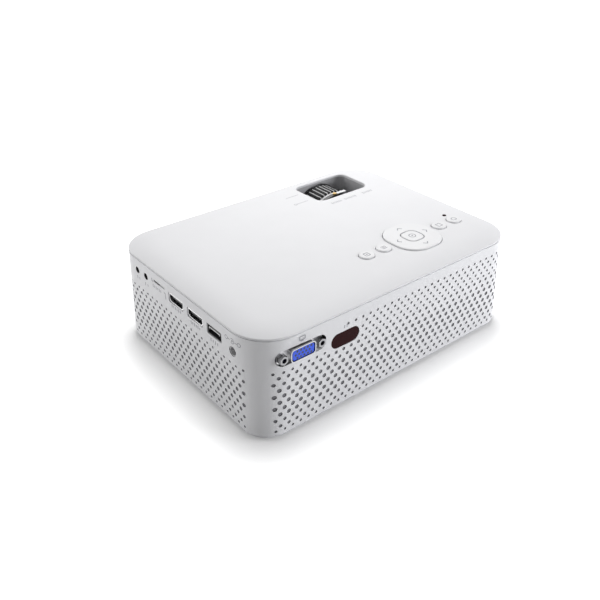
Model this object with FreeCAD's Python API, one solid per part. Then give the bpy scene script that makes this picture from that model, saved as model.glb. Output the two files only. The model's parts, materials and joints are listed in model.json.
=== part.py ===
import FreeCAD, Part
import math
import os

# Compact LCD projector with a slim tray-loading disc drive under its optical engine.
# Millimetres. Origin: middle of the footprint, on the surface it stands on.
# +Z up, +Y towards the rear wall with the video inlet, +X towards the wall with the side ports,
# and the projection lens looks out of the front wall along -Y.

V = FreeCAD.Vector
X_AXIS = V(1, 0, 0)
Y_AXIS = V(0, 1, 0)
Z_AXIS = V(0, 0, 1)

# ---- clearances ----
run_fit = 0.06            # radial, between turning or sliding round faces
seat_fit = 0.05           # a fixed round piece in its seat
slot_fit = 0.1            # a plate in its slot
cap_gap = 0.35            # round a button cap in its hole
slide_gap = 0.3           # between flat sliding faces
port_gap = 0.3            # round a socket in the wall

# ---- case ----
case_width = 200.0
case_depth = 148.0
foot_height = 2.0
floor_thickness = 2.2
wall = 2.2
shell_height = 60.2       # bottom edge to parting line
corner_r_bottom = 15.5
corner_r_top = 22.5
bottom_edge_r = 1.2
parting_gap = 0.6
cover_lip = 0.7
cover_rise = 1.8
cover_dome_width = 17.0
cover_wall = 2.0
cover_inner_dome = 8.0
tongue_thickness = 1.2
tongue_depth = 2.4

# ---- vent holes ----
vent_pitch = 2.7          # between columns; every second hole is left out
vent_row_low = 3.5        # first row above the bottom edge
vent_row_close = 3.05
vent_row_wide = 3.87
vent_large_d = 2.45
vent_medium_d = 2.0
vent_small_d = 1.5
vent_rear_start = 13.35   # first column from the +X side
vent_side_start = 17.3    # first column from the rear
vent_margin = 0.7
vent_low_rows = 10        # the last row, counted from 0, that runs under the sockets

# ---- screws and bosses ----
boss_from_side = 9.5
boss_from_rear = 14.0     # the front pair stands as far from the front wall
boss_r = 4.0
boss_split = 46.0         # where the lower and upper bosses meet
screw_r = 1.4
screw_head_r = 2.8
screw_head_h = 1.4
screw_length = 52.0

# ---- feet, tripod and front leg ----
foot_from_side = 21.0
foot_from_rear = 22.0
foot_r = 6.0
left_bay = 18.0           # leg and tripod socket, from the disc drive's side
tripod_y = 0.0
tripod_thread_r = 3.175   # 1/4-20 UNC, plain bore at its nominal size
tripod_insert_r = 6.0
tripod_insert_h = 10.0
tripod_boss_r = 8.5
leg_from_front = 18.0
leg_r = 3.0
leg_pad_r = 7.0
leg_pad_h = 1.7
leg_length = 16.0
leg_boss_r = 6.0
leg_boss_h = 12.0

# ---- main board and its sockets ----
board_top = 47.8          # above the bottom edge
board_thickness = 1.6
board_inset = 1.2         # from the inside of the walls
board_side_width = 22.6
board_rear_width = 21.4
board_from_front = 18.0   # front end of the side arm
board_rear_length = 70.0  # end of the rear arm, from the side
board_post_r = 3.0
board_post_from_side = 9.5
board_post_from_rear = 66.0
board_post_from_front = 28.0
board_rear_post_from_side = 65.0
board_rear_post_from_rear = 12.0
chip_w = 7.0
chip_l = 11.0
chip_t = 1.4
chip_from_front = 40.0
chip_from_rear = 49.0

vga_from_side = 27.9
vga_height = 48.9
vga_shell_w = 16.3
vga_shell_h = 7.9
vga_face_w = 14.0
vga_face_h = 5.8
vga_shell_t = 0.5
vga_opening_w = 31.8
vga_opening_h = 9.2
vga_body_w = 30.0
vga_body_h = 12.5
vga_body_depth = 8.0
vga_pin_pitch = 2.29
vga_pin_row = 1.98
vga_pin_r = 0.5
vga_pin_depth = 4.0
standoff_spacing = 24.99
standoff_af = 4.76
standoff_hole_r = 1.42
standoff_depth = 5.0
rear_stand_out = 1.2      # the video inlet stands this far out of the rear wall

ir_from_side = 57.5
ir_height = 44.4
ir_width = 20.0
ir_window_h = 9.1
ir_lip = 1.5
ir_lip_t = 0.8

side_socket_recess = 0.4
dc_from_rear = 22.2
dc_height = 48.7
dc_nose_r = 2.95
dc_hole_r = 2.45
dc_pin_r = 0.8
dc_pin_recess = 1.4
dc_body_w = 8.0
dc_body_h = 11.0
dc_body_depth = 13.0
dc_hole_depth = 9.0

usb_from_rear = 39.1
usb_height = 51.1
usb_w = 13.1
usb_h = 5.7
usb_shell_t = 0.4
usb_depth = 14.0
usb_tongue_t = 1.8

hdmi_from_rear = (58.0, 77.9)
hdmi_height = 51.3
hdmi_w = 15.0
hdmi_h = 5.5
hdmi_shell_t = 0.5
hdmi_chamfer = 1.6
hdmi_depth = 12.0
hdmi_tongue_t = 1.2

card_from_rear = 96.0
card_height = 54.2
card_slot_w = 12.4
card_slot_h = 1.2
card_slot_r = 0.4
usb_hole_r = 0.5
hdmi_hole_r = 1.0
split_share = 0.3         # of an opening's corner radius, from its side to the split beside it
card_body_w = 15.0
card_body_depth = 15.0
card_slot_depth = 12.0

jack_from_rear = (111.6, 121.7)
jack_height = 52.6
jack_bore_r = 1.8
jack_bore_depth = 12.0
jack_body_w = 7.0
jack_body_depth = 14.0
jack_wall_hole_r = 2.1

# ---- lens window in the cover, lens and focus ring ----
lens_from_left = 44.75
lens_height = 37.6        # above the bottom edge
window_from_front = 22.5
window_w = 44.4
window_d = 30.0
window_r = 6.0
well_t = 1.5
well_depth = 10.0
ring_r = 22.0
ring_behind_window = 2.1  # rear end of the ring, from the middle of the window
ring_length = 16.2
rib_count = 44
rib_groove_w = 1.3
rib_groove_depth = 1.2
ring_band = 1.6
sleeve_r = 18.9
sleeve_t = 1.5
shoulder_r = 20.8
shoulder_w = 2.6
mount_plate_t = 3.0
mount_plate_w = 40.0
barrel_from_front = 6.5
barrel_from_engine = 7.0
barrel_t = 1.8
front_lens_t = 5.0
rear_lens_t = 4.0
lens_edge = 1.5
bezel_r = 20.5
bezel_t = 1.2             # stands this far out of the front wall
bezel_hole_r = 18.0
bezel_inner_r = 15.8
stop_plate_w = 8.0
stop_plate_h = 3.5
stop_plate_rise = 0.5     # its top above the shoulder
stop_plate_from_axis = 2.6
stop_screw_r = 1.3
stop_screw_h = 1.0
mount_screw_head_r = 2.4
mount_screw_head_h = 1.6

# ---- optical engine ----
engine_y = 15.0
engine_half_w = 30.0      # inside
engine_half_h = 16.0      # inside
engine_wall = 2.0
engine_roof = 1.5
engine_right = 85.25      # light end, from the lens axis
engine_left = 30.75       # inside of the other end, from the lens axis
mirror_t = 1.9
mirror_half_l = 40.5
mirror_back = 2.0
led_board_t = 1.6
led_chip = 12.0
led_chip_t = 1.0
sink_base_t = 4.0
sink_depth = 22.4
sink_fins = 13
sink_fin_t = 1.3
condenser_from_lens = 71.25
condenser_edge = 2.0
condenser_bulge = 6.0
fresnel_from_lens = (46.25, 58.25)
fresnel_t = 1.5
lcd_from_lens = 52.25
lcd_t = 2.4
engine_post_r = 3.0
engine_post_from_drive = 8.0
engine_post_from_end = 6.0
engine_post_steps = (-7.0, -27.0)     # from the middle of the light box
engine_pad = 6.0
engine_pad_from_lens = 75.25
engine_pad_steps = (-25.0, 23.0)

# ---- fans ----
led_fan = 40.0
led_fan_t = 15.0
out_fan = 50.0
out_fan_t = 12.0
out_fan_y = 25.0
out_fan_wall_gap = 0.3
fan_rim = 1.4
fan_blade_gap = 0.8
fan_blades = 7
fan_blade_t = 1.0
fan_blade_angle = 38.0
fan_strut = 2.2
fan_plate_t = 1.5
fan_hub_share = 0.42
fan_axle_r = 1.0

# ---- speaker ----
speaker_from_side = 48.0
speaker_z = 38.0
speaker_r = 14.0
speaker_basket_t = 5.0
speaker_magnet_r = 8.0
speaker_magnet_t = 8.0
speaker_slots = 7
speaker_slot_w = 1.6
speaker_slot_pitch = 3.4

# ---- slim disc drive ----
drive_from_side = 83.0    # middle of the drive
drive_width = 130.0
drive_length = 126.1
drive_height = 12.7
drive_sheet = 0.8
drive_from_front = 2.4
tray_rail_t = 1.6
tray_rail_h = 5.0
tray_bottom_gap = 0.6
tray_top_gap = 0.7
tray_plate_t = 5.2
tray_wall = 1.6
tray_rear_gap = 1.5
disc_recess_r = 60.3
disc_recess_depth = 2.2
disc_recess_edge = 2.6
spindle_well_r = 14.0
tray_slot_half_w = 14.5
bezel_plate_t = 2.0
bezel_clear = 0.4
drive_slot_clear = 0.3
eject_from_middle = 45.0
eject_w = 8.0
eject_h = 3.0
eject_t = 1.2
eject_from_bottom = 3.0
hub_r = 7.4               # takes the 15 mm hole of a disc
hub_nose_h = 2.0
rotor_r = 12.0
rotor_h = 4.3
stator_r = 11.0
stator_h = 2.6
spindle_shaft_r = 1.5
mech_plate_t = 0.8
mech_rear = 6.0
rod_r = 1.0
rod_spread = 11.0
rod_height = 2.0
screw_offset = 14.2
lead_screw_r = 1.2
sled_w = 25.0
sled_length = 16.0
sled_height = 4.0
sled_end_gap = 0.8        # sled to the inner end block, with the pickup at the inner track
end_block_t = 1.0
objective_r = 3.0
objective_h = 1.0
objective_offset = 4.0

# ---- keys ----
key_row_from_rear = 34.9
home_from_left = 95.3
menu_from_left = 81.3
ok_from_left = 57.0
back_from_left = 32.8
power_from_left = 18.8
small_key_w = 9.4
small_key_d = 8.8
small_key_r = 4.2
ok_key_w = 12.4
ok_key_r = 4.2
pad_w = 33.4
pad_r = 13.5
key_stand_out = 0.8
ok_stand_out = 1.0
key_edge_r = 0.6
key_flange = 0.8
key_flange_t = 0.9
ok_flange_drop = 0.3      # clear of the pad as it rocks
key_travel = 0.5
key_stem_r = 1.5
key_board_top = 56.5      # above the bottom edge
key_board_t = 1.2
key_board_side = 8.0
key_board_depth = 33.0
switch_w = 4.5
switch_h = 2.5
pad_flange_drop = 0.9
pad_pip_from_ok = 13.0
pad_pip_gap = 0.4
pivot_w = 22.0
pivot_r = 3.4
pivot_room = 0.5
pivot_inner_w = 17.6
pivot_t = 1.0
pivot_nub_r = 0.7
pivot_nub_h = 0.2
pivot_gap = 0.3
led_from_left = 18.3
led_from_rear = 43.3
led_r = 1.3
key_post_r = 1.8

# ---- levels and places worked out from the sizes above ----
z_floor = foot_height
z_deck = z_floor + floor_thickness
z_part = z_floor + shell_height
z_cover = z_part + parting_gap
z_lip = z_cover + cover_lip
z_top = z_lip + cover_rise
z_ceiling = z_top - cover_wall
x_side = case_width / 2
y_rear = case_depth / 2
z_board = z_floor + board_top
boss_x = x_side - boss_from_side
boss_y = y_rear - boss_from_rear
foot_x = x_side - foot_from_side
foot_y = y_rear - foot_from_rear
lens_x = -x_side + lens_from_left
lens_z = z_floor + lens_height
window_y = -y_rear + window_from_front
ring_rear = window_y + ring_behind_window
ring_front = ring_rear - ring_length
key_y = y_rear - key_row_from_rear
ok_x = -x_side + ok_from_left
z_key_board = z_floor + key_board_top
z_switch = z_key_board + switch_h
z_flange = z_ceiling - slot_fit
z_pad_web = z_ceiling + slot_fit
z_pivot = z_pad_web - pivot_gap - pivot_nub_h - pivot_t
drive_x = x_side - drive_from_side
drive_front = -y_rear + drive_from_front
drive_left = drive_x - drive_width / 2
drive_right = drive_x + drive_width / 2
drive_rear = drive_front + drive_length
drive_top = z_deck + drive_height
left_bay_x = drive_left - left_bay
leg_y = -y_rear + leg_from_front
speaker_x = x_side - speaker_from_side
eject_x = drive_x + eject_from_middle
tray_bottom = z_deck + drive_sheet + tray_bottom_gap
tray_top = drive_top - drive_sheet - tray_top_gap
tray_front = -y_rear + bezel_plate_t
tray_rear = drive_rear - drive_sheet - tray_rear_gap
tray_half_w = drive_width / 2 - drive_sheet - 2 * slide_gap - tray_rail_t
spindle_y = tray_front + disc_recess_edge + disc_recess_r
engine_bottom = lens_z - engine_half_h - engine_roof
engine_top = lens_z + engine_half_h + engine_roof
engine_front = engine_y - engine_half_w - engine_wall
engine_led_end = lens_x + engine_right
engine_left_end = lens_x - engine_left
barrel_front = -y_rear + barrel_from_front
barrel_rear = engine_front - barrel_from_engine
sink_x = engine_led_end + led_board_t
led_fan_x = sink_x + sink_depth


def box(x0, x1, y0, y1, z0, z1):
    return Part.makeBox(x1 - x0, y1 - y0, z1 - z0, V(x0, y0, z0))


def block(cx, cy, w, d, z0, z1):
    return box(cx - w / 2, cx + w / 2, cy - d / 2, cy + d / 2, z0, z1)


def rod_x(x0, x1, y, z, r):
    return Part.makeCylinder(r, x1 - x0, V(x0, y, z), X_AXIS)


def rod_y(y0, y1, x, z, r):
    return Part.makeCylinder(r, y1 - y0, V(x, y0, z), Y_AXIS)


def rod_z(z0, z1, x, y, r):
    return Part.makeCylinder(r, z1 - z0, V(x, y, z0), Z_AXIS)


def fuse(shapes):
    whole = shapes[0]
    return whole.fuse(shapes[1:]) if len(shapes) > 1 else whole


def rounded_wire(w, d, r, origin, u, v):
    """Closed rounded rectangle, w along u and d along v, about origin."""
    def at(a, b):
        return origin + u * a + v * b
    x = w / 2
    y = d / 2
    k = r * (1 - math.sqrt(0.5))
    edges = []
    for sx, sy in ((1, -1), (1, 1), (-1, 1), (-1, -1)):
        side_first = sx * sy < 0
        on_y = at(sx * (x - r), sy * y)
        on_x = at(sx * x, sy * (y - r))
        middle = at(sx * (x - k), sy * (y - k))
        start, end = (on_y, on_x) if side_first else (on_x, on_y)
        if edges:
            last = edges[-1].Vertexes[-1].Point
            if (last - start).Length > 1e-6:
                edges.append(Part.makeLine(last, start))
        edges.append(Part.Arc(start, middle, end).toShape())
    first = edges[0].Vertexes[0].Point
    last = edges[-1].Vertexes[-1].Point
    if (last - first).Length > 1e-6:
        edges.append(Part.makeLine(last, first))
    return Part.Wire(edges)


def flat_rounded(w, d, r, z, cx=0.0, cy=0.0):
    return rounded_wire(w, d, r, V(cx, cy, z), X_AXIS, Y_AXIS)


def rounded_block(w, d, r, z0, z1, cx=0.0, cy=0.0):
    return Part.Face(flat_rounded(w, d, r, z0, cx, cy)).extrude(V(0, 0, z1 - z0))


def prism(points, direction):
    return Part.Face(Part.makePolygon(points + points[:1])).extrude(direction)


def socket_block_x(w, h, r, x0, x1, y, z):
    """Rounded bar along X, w across Y and h up."""
    return Part.Face(rounded_wire(w, h, r, V(x0, y, z), Y_AXIS, Z_AXIS)).extrude(V(x1 - x0, 0, 0))


def socket_block_y(w, h, r, y0, y1, x, z):
    """Rounded bar along Y, w across X and h up."""
    return Part.Face(rounded_wire(w, h, r, V(x, y0, z), X_AXIS, Z_AXIS)).extrude(V(0, y1 - y0, 0))


# ---- case ----

def corner_r(z):
    share = (z - z_floor) / shell_height
    return corner_r_bottom + (corner_r_top - corner_r_bottom) * share


def case_loft(inset, z0, z1):
    wires = []
    for z in (z0, z1):
        r = corner_r(z) - inset
        wires.append(flat_rounded(case_width - 2 * inset, case_depth - 2 * inset, r, z))
    return Part.makeLoft(wires, True, True)


def wall_outline(half_length):
    """Flat stretch of a wall between its two corners, as (along, up) points."""
    low = half_length - corner_r(z_deck)
    high = half_length - corner_r(z_part)
    return ((-low, z_deck), (low, z_deck), (high, z_part), (-high, z_part))


def vent_rows():
    """(height above the bottom edge, diameter) of each row, from the lowest up."""
    gaps = [vent_row_close] + [vent_row_wide] * 8 + [vent_row_close] * 5
    sizes = [vent_small_d] + [vent_medium_d] * 2 + [vent_large_d] * 5 + [vent_medium_d] * 2
    sizes += [vent_small_d] * 5
    rows = []
    height = vent_row_low
    for index, size in enumerate(sizes):
        rows.append((height, size))
        if index < len(gaps):
            height += gaps[index]
    return rows


def vent_grid(length, start, half_length, rows_at, keep_out):
    """(along, up, radius) of each vent hole; along is measured from the first edge."""
    holes = []
    count = int((length - 2 * start) / vent_pitch + 0.5) + 1
    for row, (height, size) in enumerate(vent_rows()):
        z = z_floor + height
        r = size / 2
        for column in range(count):
            if (column + row) % 2 == 0:
                continue
            along = start + column * vent_pitch
            edge = min(along, length - along) - corner_r(z)
            if edge < r + vent_margin or not rows_at(row, along):
                continue
            if any(abs(along - a) < w / 2 + r + vent_margin and abs(height - h) < t / 2 + r + vent_margin
                   for a, h, w, t in keep_out):
                continue
            holes.append((along, z, r))
    return holes


def wall_panel(half_length, to_point, normal, holes, openings):
    """Flat wall with round holes and shaped openings; to_point maps (along, up) to space."""
    corners = [to_point(a, z) for a, z in wall_outline(half_length)]
    face = Part.Face(Part.makePolygon(corners + corners[:1]))
    if openings:
        face = face.cut([Part.Face(w) for w in openings]).Faces[0]
    inwards = face.normalAt(0, 0) * -1
    circles = [Part.Wire(Part.makeCircle(r, to_point(along, z), inwards)) for along, z, r in holes]
    if circles:
        face = Part.Face([face.OuterWire] + [w for w in face.Wires[1:]] + circles)
    return face.extrude(normal * -wall)


def rear_openings():
    """Outlines of the video inlet and of the remote control window in the rear wall."""
    return [rounded_wire(vga_opening_w, vga_opening_h, vga_opening_h / 2 - 0.3,
                         V(x_side - vga_from_side, y_rear, z_floor + vga_height), X_AXIS, Z_AXIS),
            rounded_wire(ir_width, ir_window_h, ir_window_h / 2 - 0.01,
                         V(x_side - ir_from_side, y_rear, z_floor + ir_height), X_AXIS, Z_AXIS)]


def port_outlines():
    """(from the rear, height, width, depth, corner radius) of each opening in the side wall."""
    rects = [(usb_from_rear, usb_height, usb_w, usb_h, usb_hole_r)]
    rects += [(y, hdmi_height, hdmi_w, hdmi_h, hdmi_hole_r) for y in hdmi_from_rear]
    outlines = [(y, height, w + 2 * port_gap, h + 2 * port_gap, r) for y, height, w, h, r in rects]
    outlines.append((card_from_rear, card_height, card_slot_w, card_slot_h, card_slot_r))
    rounds = [(dc_from_rear, dc_height, dc_nose_r + seat_fit)]
    rounds += [(y, jack_height, jack_wall_hole_r) for y in jack_from_rear]
    return outlines + [(y, height, 2 * r, 2 * r, r) for y, height, r in rounds]


def port_openings():
    """Outlines of the sockets' openings in the side wall."""
    openings = []
    for from_rear, height, w, h, r in port_outlines():
        centre = V(x_side, y_rear - from_rear, z_floor + height)
        if 2 * r < w:
            openings.append(rounded_wire(w, h, r, centre, Y_AXIS, Z_AXIS))
        else:
            openings.append(Part.Wire(Part.makeCircle(r, centre, X_AXIS)))
    return openings


def vga_body_block(gap):
    x = x_side - vga_from_side
    z = z_floor + vga_height
    y_in = y_rear - wall
    return box(x - vga_body_w / 2 - gap, x + vga_body_w / 2 + gap, y_in - vga_body_depth, y_in,
               z - vga_body_h / 2 - gap, z + vga_body_h / 2 + gap)


def dc_body_block(gap):
    y = y_rear - dc_from_rear
    z = z_floor + dc_height
    x_in = x_side - wall
    return box(x_in - dc_body_depth, x_in, y - dc_body_w / 2 - gap, y + dc_body_w / 2 + gap,
               z - dc_body_h / 2 - gap, z + dc_body_h / 2 + gap)


def corners(x, y):
    """The four places at x and y either side of the middle."""
    return [(sx * x, sy * y) for sx in (-1, 1) for sy in (-1, 1)]


def base_posts():
    """Posts and bosses that stand on the floor, as separate shapes."""
    posts = [rod_z(z_deck, boss_split, x, y, boss_r) for x, y in corners(boss_x, boss_y)]
    board_x = x_side - board_post_from_side
    places = [(board_x, y_rear - board_post_from_rear), (board_x, -y_rear + board_post_from_front),
              (x_side - board_rear_post_from_side, y_rear - board_rear_post_from_rear)]
    posts += [rod_z(z_deck, z_board - board_thickness, x, y, board_post_r) for x, y in places]
    places = zip((drive_left - engine_post_from_drive, engine_left_end + engine_post_from_end),
                 engine_post_steps)
    posts += [rod_z(z_deck, engine_bottom, x, engine_y + step, engine_post_r) for x, step in places]
    posts.append(rod_z(z_deck, z_floor + tripod_insert_h, left_bay_x, tripod_y, tripod_boss_r))
    posts.append(rod_z(z_deck, z_deck + leg_boss_h, left_bay_x, leg_y, leg_boss_r))
    return posts


def base_shell():
    """Floor, four corner walls, bosses and posts, each standing face to face on the floor."""
    outer = case_loft(0.0, z_floor, z_part)
    bottom_edges = [e for e in outer.Edges if abs(e.BoundBox.ZMax - z_floor) < 1e-6]
    outer = outer.makeFillet(bottom_edge_r, bottom_edges)
    below = box(-case_width, case_width, -case_depth, case_depth, 0.0, z_deck)
    walls = outer.cut([below, case_loft(wall, z_deck - 1.0, z_part + 1.0)])
    side = [V(x_side, a, z) for a, z in wall_outline(y_rear)]
    rear = [V(a, y_rear, z) for a, z in wall_outline(x_side)]
    walls = walls.cut([prism([p + V(1, 0, 0) for p in side], V(-case_width - 2, 0, 0)),
                       prism([p + V(0, 1, 0) for p in rear], V(0, -case_depth - 2, 0))])
    cuts = [rod_z(z_floor - 1, z_floor + tripod_insert_h + 1, left_bay_x, tripod_y,
                  tripod_insert_r + seat_fit),
            rod_z(z_floor - 1, z_deck + leg_boss_h + 1, left_bay_x, leg_y, leg_r + run_fit)]
    for x, y in corners(boss_x, boss_y):
        cuts.append(rod_z(z_floor - 1, boss_split + 1, x, y, screw_r + slide_gap))
        cuts.append(rod_z(z_floor - 1, z_floor + screw_head_h, x, y, screw_head_r + slide_gap))
    cuts += [Part.Face(w).extrude(V(0, -corner_r_bottom / 2, 0)) for w in rear_openings()]
    cuts += [Part.Face(w).extrude(V(-corner_r_bottom / 2, 0, 0)) for w in port_openings()]
    cuts += [vga_body_block(slot_fit), dc_body_block(slot_fit)]
    solids = []
    for shape in [outer.common(below), walls] + base_posts():
        solids += shape.cut(cuts).Solids
    return Part.makeCompound(solids)


def rear_grille():
    """Rear wall; its vent rows reach the top only beyond the remote control window."""
    vga = (vga_from_side, vga_height, vga_opening_w, vga_opening_h)
    ir = (ir_from_side, ir_height, ir_width, ir_window_h)
    high_from = ir_from_side

    def rows_at(row, along):
        return row <= vent_low_rows or along > high_from

    def to_point(along, z):
        return V(along, y_rear, z)
    holes = vent_grid(case_width, vent_rear_start, x_side, rows_at, (vga, ir))
    placed = [(x_side - a, z, r) for a, z, r in holes]
    return wall_panel(x_side, to_point, Y_AXIS, placed, rear_openings())


def side_holes():
    def rows_at(row, along):
        return row <= vent_low_rows
    return vent_grid(case_depth, vent_side_start, y_rear, rows_at, ())


def port_grille():
    """Side wall: the vent field, and above it a strip that is split just inside each opening's sides."""
    holes = [(y_rear - a, z, r) for a, z, r in side_holes()]

    def to_point(along, z):
        return V(x_side, along, z)
    panel = wall_panel(y_rear, to_point, X_AXIS, holes, port_openings())
    vents_top = max(z + r for _, z, r in holes)
    sockets_low = z_floor + min(height - h / 2 for _, height, _, h, _ in port_outlines())
    level = (vents_top + sockets_low) / 2
    splits = [-y_rear, y_rear]
    for from_rear, _, w, _, r in port_outlines():
        reach = w / 2 - split_share * r
        splits += [y_rear - from_rear - reach, y_rear - from_rear + reach]
    splits.sort()
    x_in = x_side - wall - 1
    x_out = x_side + 1
    solids = panel.common(box(x_in, x_out, -y_rear, y_rear, 0.0, level)).Solids
    for y0, y1 in zip(splits, splits[1:]):
        solids += panel.common(box(x_in, x_out, y0, y1, level, z_top)).Solids
    return Part.makeCompound(solids)


def left_grille():
    holes = [(y_rear - a, z, r) for a, z, r in side_holes()]

    def to_point(along, z):
        return V(-x_side, along, z)
    return wall_panel(y_rear, to_point, V(-1, 0, 0), holes, [])


def front_panel():
    def to_point(along, z):
        return V(along, -y_rear, z)
    openings = [Part.Wire(Part.makeCircle(bezel_hole_r, V(lens_x, -y_rear, lens_z), Y_AXIS))]
    middle = (speaker_slots - 1) / 2
    for index in range(speaker_slots):
        off = (index - middle) * speaker_slot_pitch
        length = 2 * math.sqrt((speaker_r - 2) ** 2 - off ** 2)
        centre = V(speaker_x + off, -y_rear, speaker_z)
        openings.append(rounded_wire(speaker_slot_w, length, speaker_slot_w / 2 - 0.01,
                                     centre, X_AXIS, Z_AXIS))
    panel = wall_panel(x_side, to_point, V(0, -1, 0), [], openings)
    return panel.cut(box(drive_left - drive_slot_clear, drive_right + drive_slot_clear,
                         -y_rear - 1, -y_rear + wall + 1, z_deck - 1, drive_top + drive_slot_clear))


def dome(inset, drop, z_low, width):
    """Solid under the cover's crown: upright lip, then a curve that flattens inwards."""
    steps = (0.0, 0.12, 0.3, 0.55, 0.8, 1.0)
    wires = [flat_rounded(case_width - 2 * inset, case_depth - 2 * inset,
                          corner_r_top - inset, z_low)]
    lip = Part.Face(wires[0]).extrude(V(0, 0, z_lip - drop - z_low))
    sections = []
    for share in steps:
        off = inset + share * width
        z = z_lip - drop + cover_rise * (1 - (1 - share) ** 2)
        sections.append(flat_rounded(case_width - 2 * off, case_depth - 2 * off,
                                     max(corner_r_top - off, 1.0), z))
    return lip.fuse(Part.makeLoft(sections, True, False))


def key_places():
    """(name, x, y, width, depth, corner) of the four small keys."""
    return [(name, -x_side + from_left, key_y, small_key_w, small_key_d, small_key_r)
            for name, from_left in (("home", home_from_left), ("menu", menu_from_left),
                                    ("back", back_from_left), ("power", power_from_left))]


def key_posts():
    """Middle of each post that holds the key board under the cover."""
    left = -x_side + cover_dome_width + 3.0
    right = -x_side + home_from_left + small_key_w / 2 + 5.0
    rear = key_y + key_board_depth / 2 - 3.0
    return ((left, rear), (right, rear), (right, key_y - key_board_depth / 2 + 3.0))


def tongues():
    """Straight locating ribs under the cover, one inside each wall."""
    inset = wall + slot_fit
    low = z_part - tongue_depth
    x = x_side - inset
    y = y_rear - inset
    along_x = x_side - corner_r_top
    along_y = y_rear - corner_r_top
    return [box(-along_x, along_x, y - tongue_thickness, y, low, z_cover),
            box(-along_x, along_x, -y, -y + tongue_thickness, low, z_cover),
            box(x - tongue_thickness, x, -along_y, along_y, low, z_cover),
            box(-x, -x + tongue_thickness, -along_y, along_y, low, z_cover)]


def top_cover():
    """Crown with the lens window and key holes; ribs, bosses and posts meet its underside."""
    outer = dome(0.0, 0.0, z_cover, cover_dome_width)
    crown = outer.cut(dome(wall, cover_wall, z_cover - 1.0, cover_inner_dome))
    bosses = [rod_z(boss_split, z_ceiling + 0.4, x, y, boss_r) for x, y in corners(boss_x, boss_y)]
    posts = [rod_z(z_key_board, z_ceiling + 0.4, x, y, key_post_r) for x, y in key_posts()]
    hung = [shape.cut(crown) for shape in bosses + posts]
    cuts = [rounded_block(window_w, window_d, window_r, z_part - 4, z_top + 1, lens_x, window_y)]
    for _, x, y, w, d, r in key_places():
        cuts.append(rounded_block(w + 2 * cap_gap, d + 2 * cap_gap, r + cap_gap,
                                  z_part, z_top + 1, x, y))
    cuts.append(rounded_block(pad_w + 2 * cap_gap, pad_w + 2 * cap_gap, pad_r + cap_gap,
                              z_part, z_top + 1, ok_x, key_y))
    cuts.append(rod_z(z_part, z_top + 1, -x_side + led_from_left, y_rear - led_from_rear,
                      led_r + seat_fit))
    for x, y in corners(boss_x, boss_y):
        cuts.append(rod_z(boss_split - 1, z_floor + screw_head_h + screw_length + 1, x, y,
                          screw_r + seat_fit))
    solids = []
    for shape in [crown] + tongues() + hung:
        solids += shape.cut(cuts).Solids
    return Part.makeCompound(solids)


def focus_well():
    """Skirt under the lens window, open over the focus ring."""
    outer = rounded_block(window_w + 2 * well_t, window_d + 2 * well_t, window_r + well_t,
                          z_ceiling - well_depth, z_ceiling, lens_x, window_y)
    inner = rounded_block(window_w, window_d, window_r, z_ceiling - well_depth - 1,
                          z_ceiling + 1, lens_x, window_y)
    room = rod_y(window_y - window_d, window_y + window_d, lens_x, lens_z, ring_r + slide_gap)
    ceiling = dome(wall, cover_wall, z_ceiling - well_depth - 1, cover_inner_dome)
    return outer.common(ceiling).cut([inner, room])


def lens_bezel():
    ring = rod_y(-y_rear - bezel_t, -y_rear, lens_x, lens_z, bezel_r)
    spigot = rod_y(-y_rear, -y_rear + wall, lens_x, lens_z, bezel_hole_r - seat_fit)
    hole = rod_y(-y_rear - bezel_t - 1, -y_rear + wall + 1, lens_x, lens_z, bezel_inner_r)
    return ring.fuse(spigot).cut(hole)


def rubber_feet():
    return Part.makeCompound([rod_z(0.0, foot_height, x, y, foot_r)
                              for x, y in corners(foot_x, foot_y)])


def tripod_insert():
    body = rod_z(z_floor, z_floor + tripod_insert_h, left_bay_x, tripod_y, tripod_insert_r)
    return body.cut(rod_z(z_floor - 1, z_floor + tripod_insert_h + 1, left_bay_x, tripod_y,
                          tripod_thread_r))


def tilt_leg():
    pad = rod_z(0.0, leg_pad_h, left_bay_x, leg_y, leg_pad_r)
    return pad.fuse(rod_z(leg_pad_h - 0.5, leg_pad_h + leg_length, left_bay_x, leg_y, leg_r))


def case_screws():
    screws = []
    for x, y in corners(boss_x, boss_y):
        head = rod_z(z_floor + 0.2, z_floor + screw_head_h, x, y, screw_head_r)
        shank = rod_z(z_floor + 0.5, z_floor + screw_head_h + screw_length, x, y, screw_r)
        screws.append(head.fuse(shank))
    return Part.makeCompound(screws)


# ---- main board and sockets ----

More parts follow.
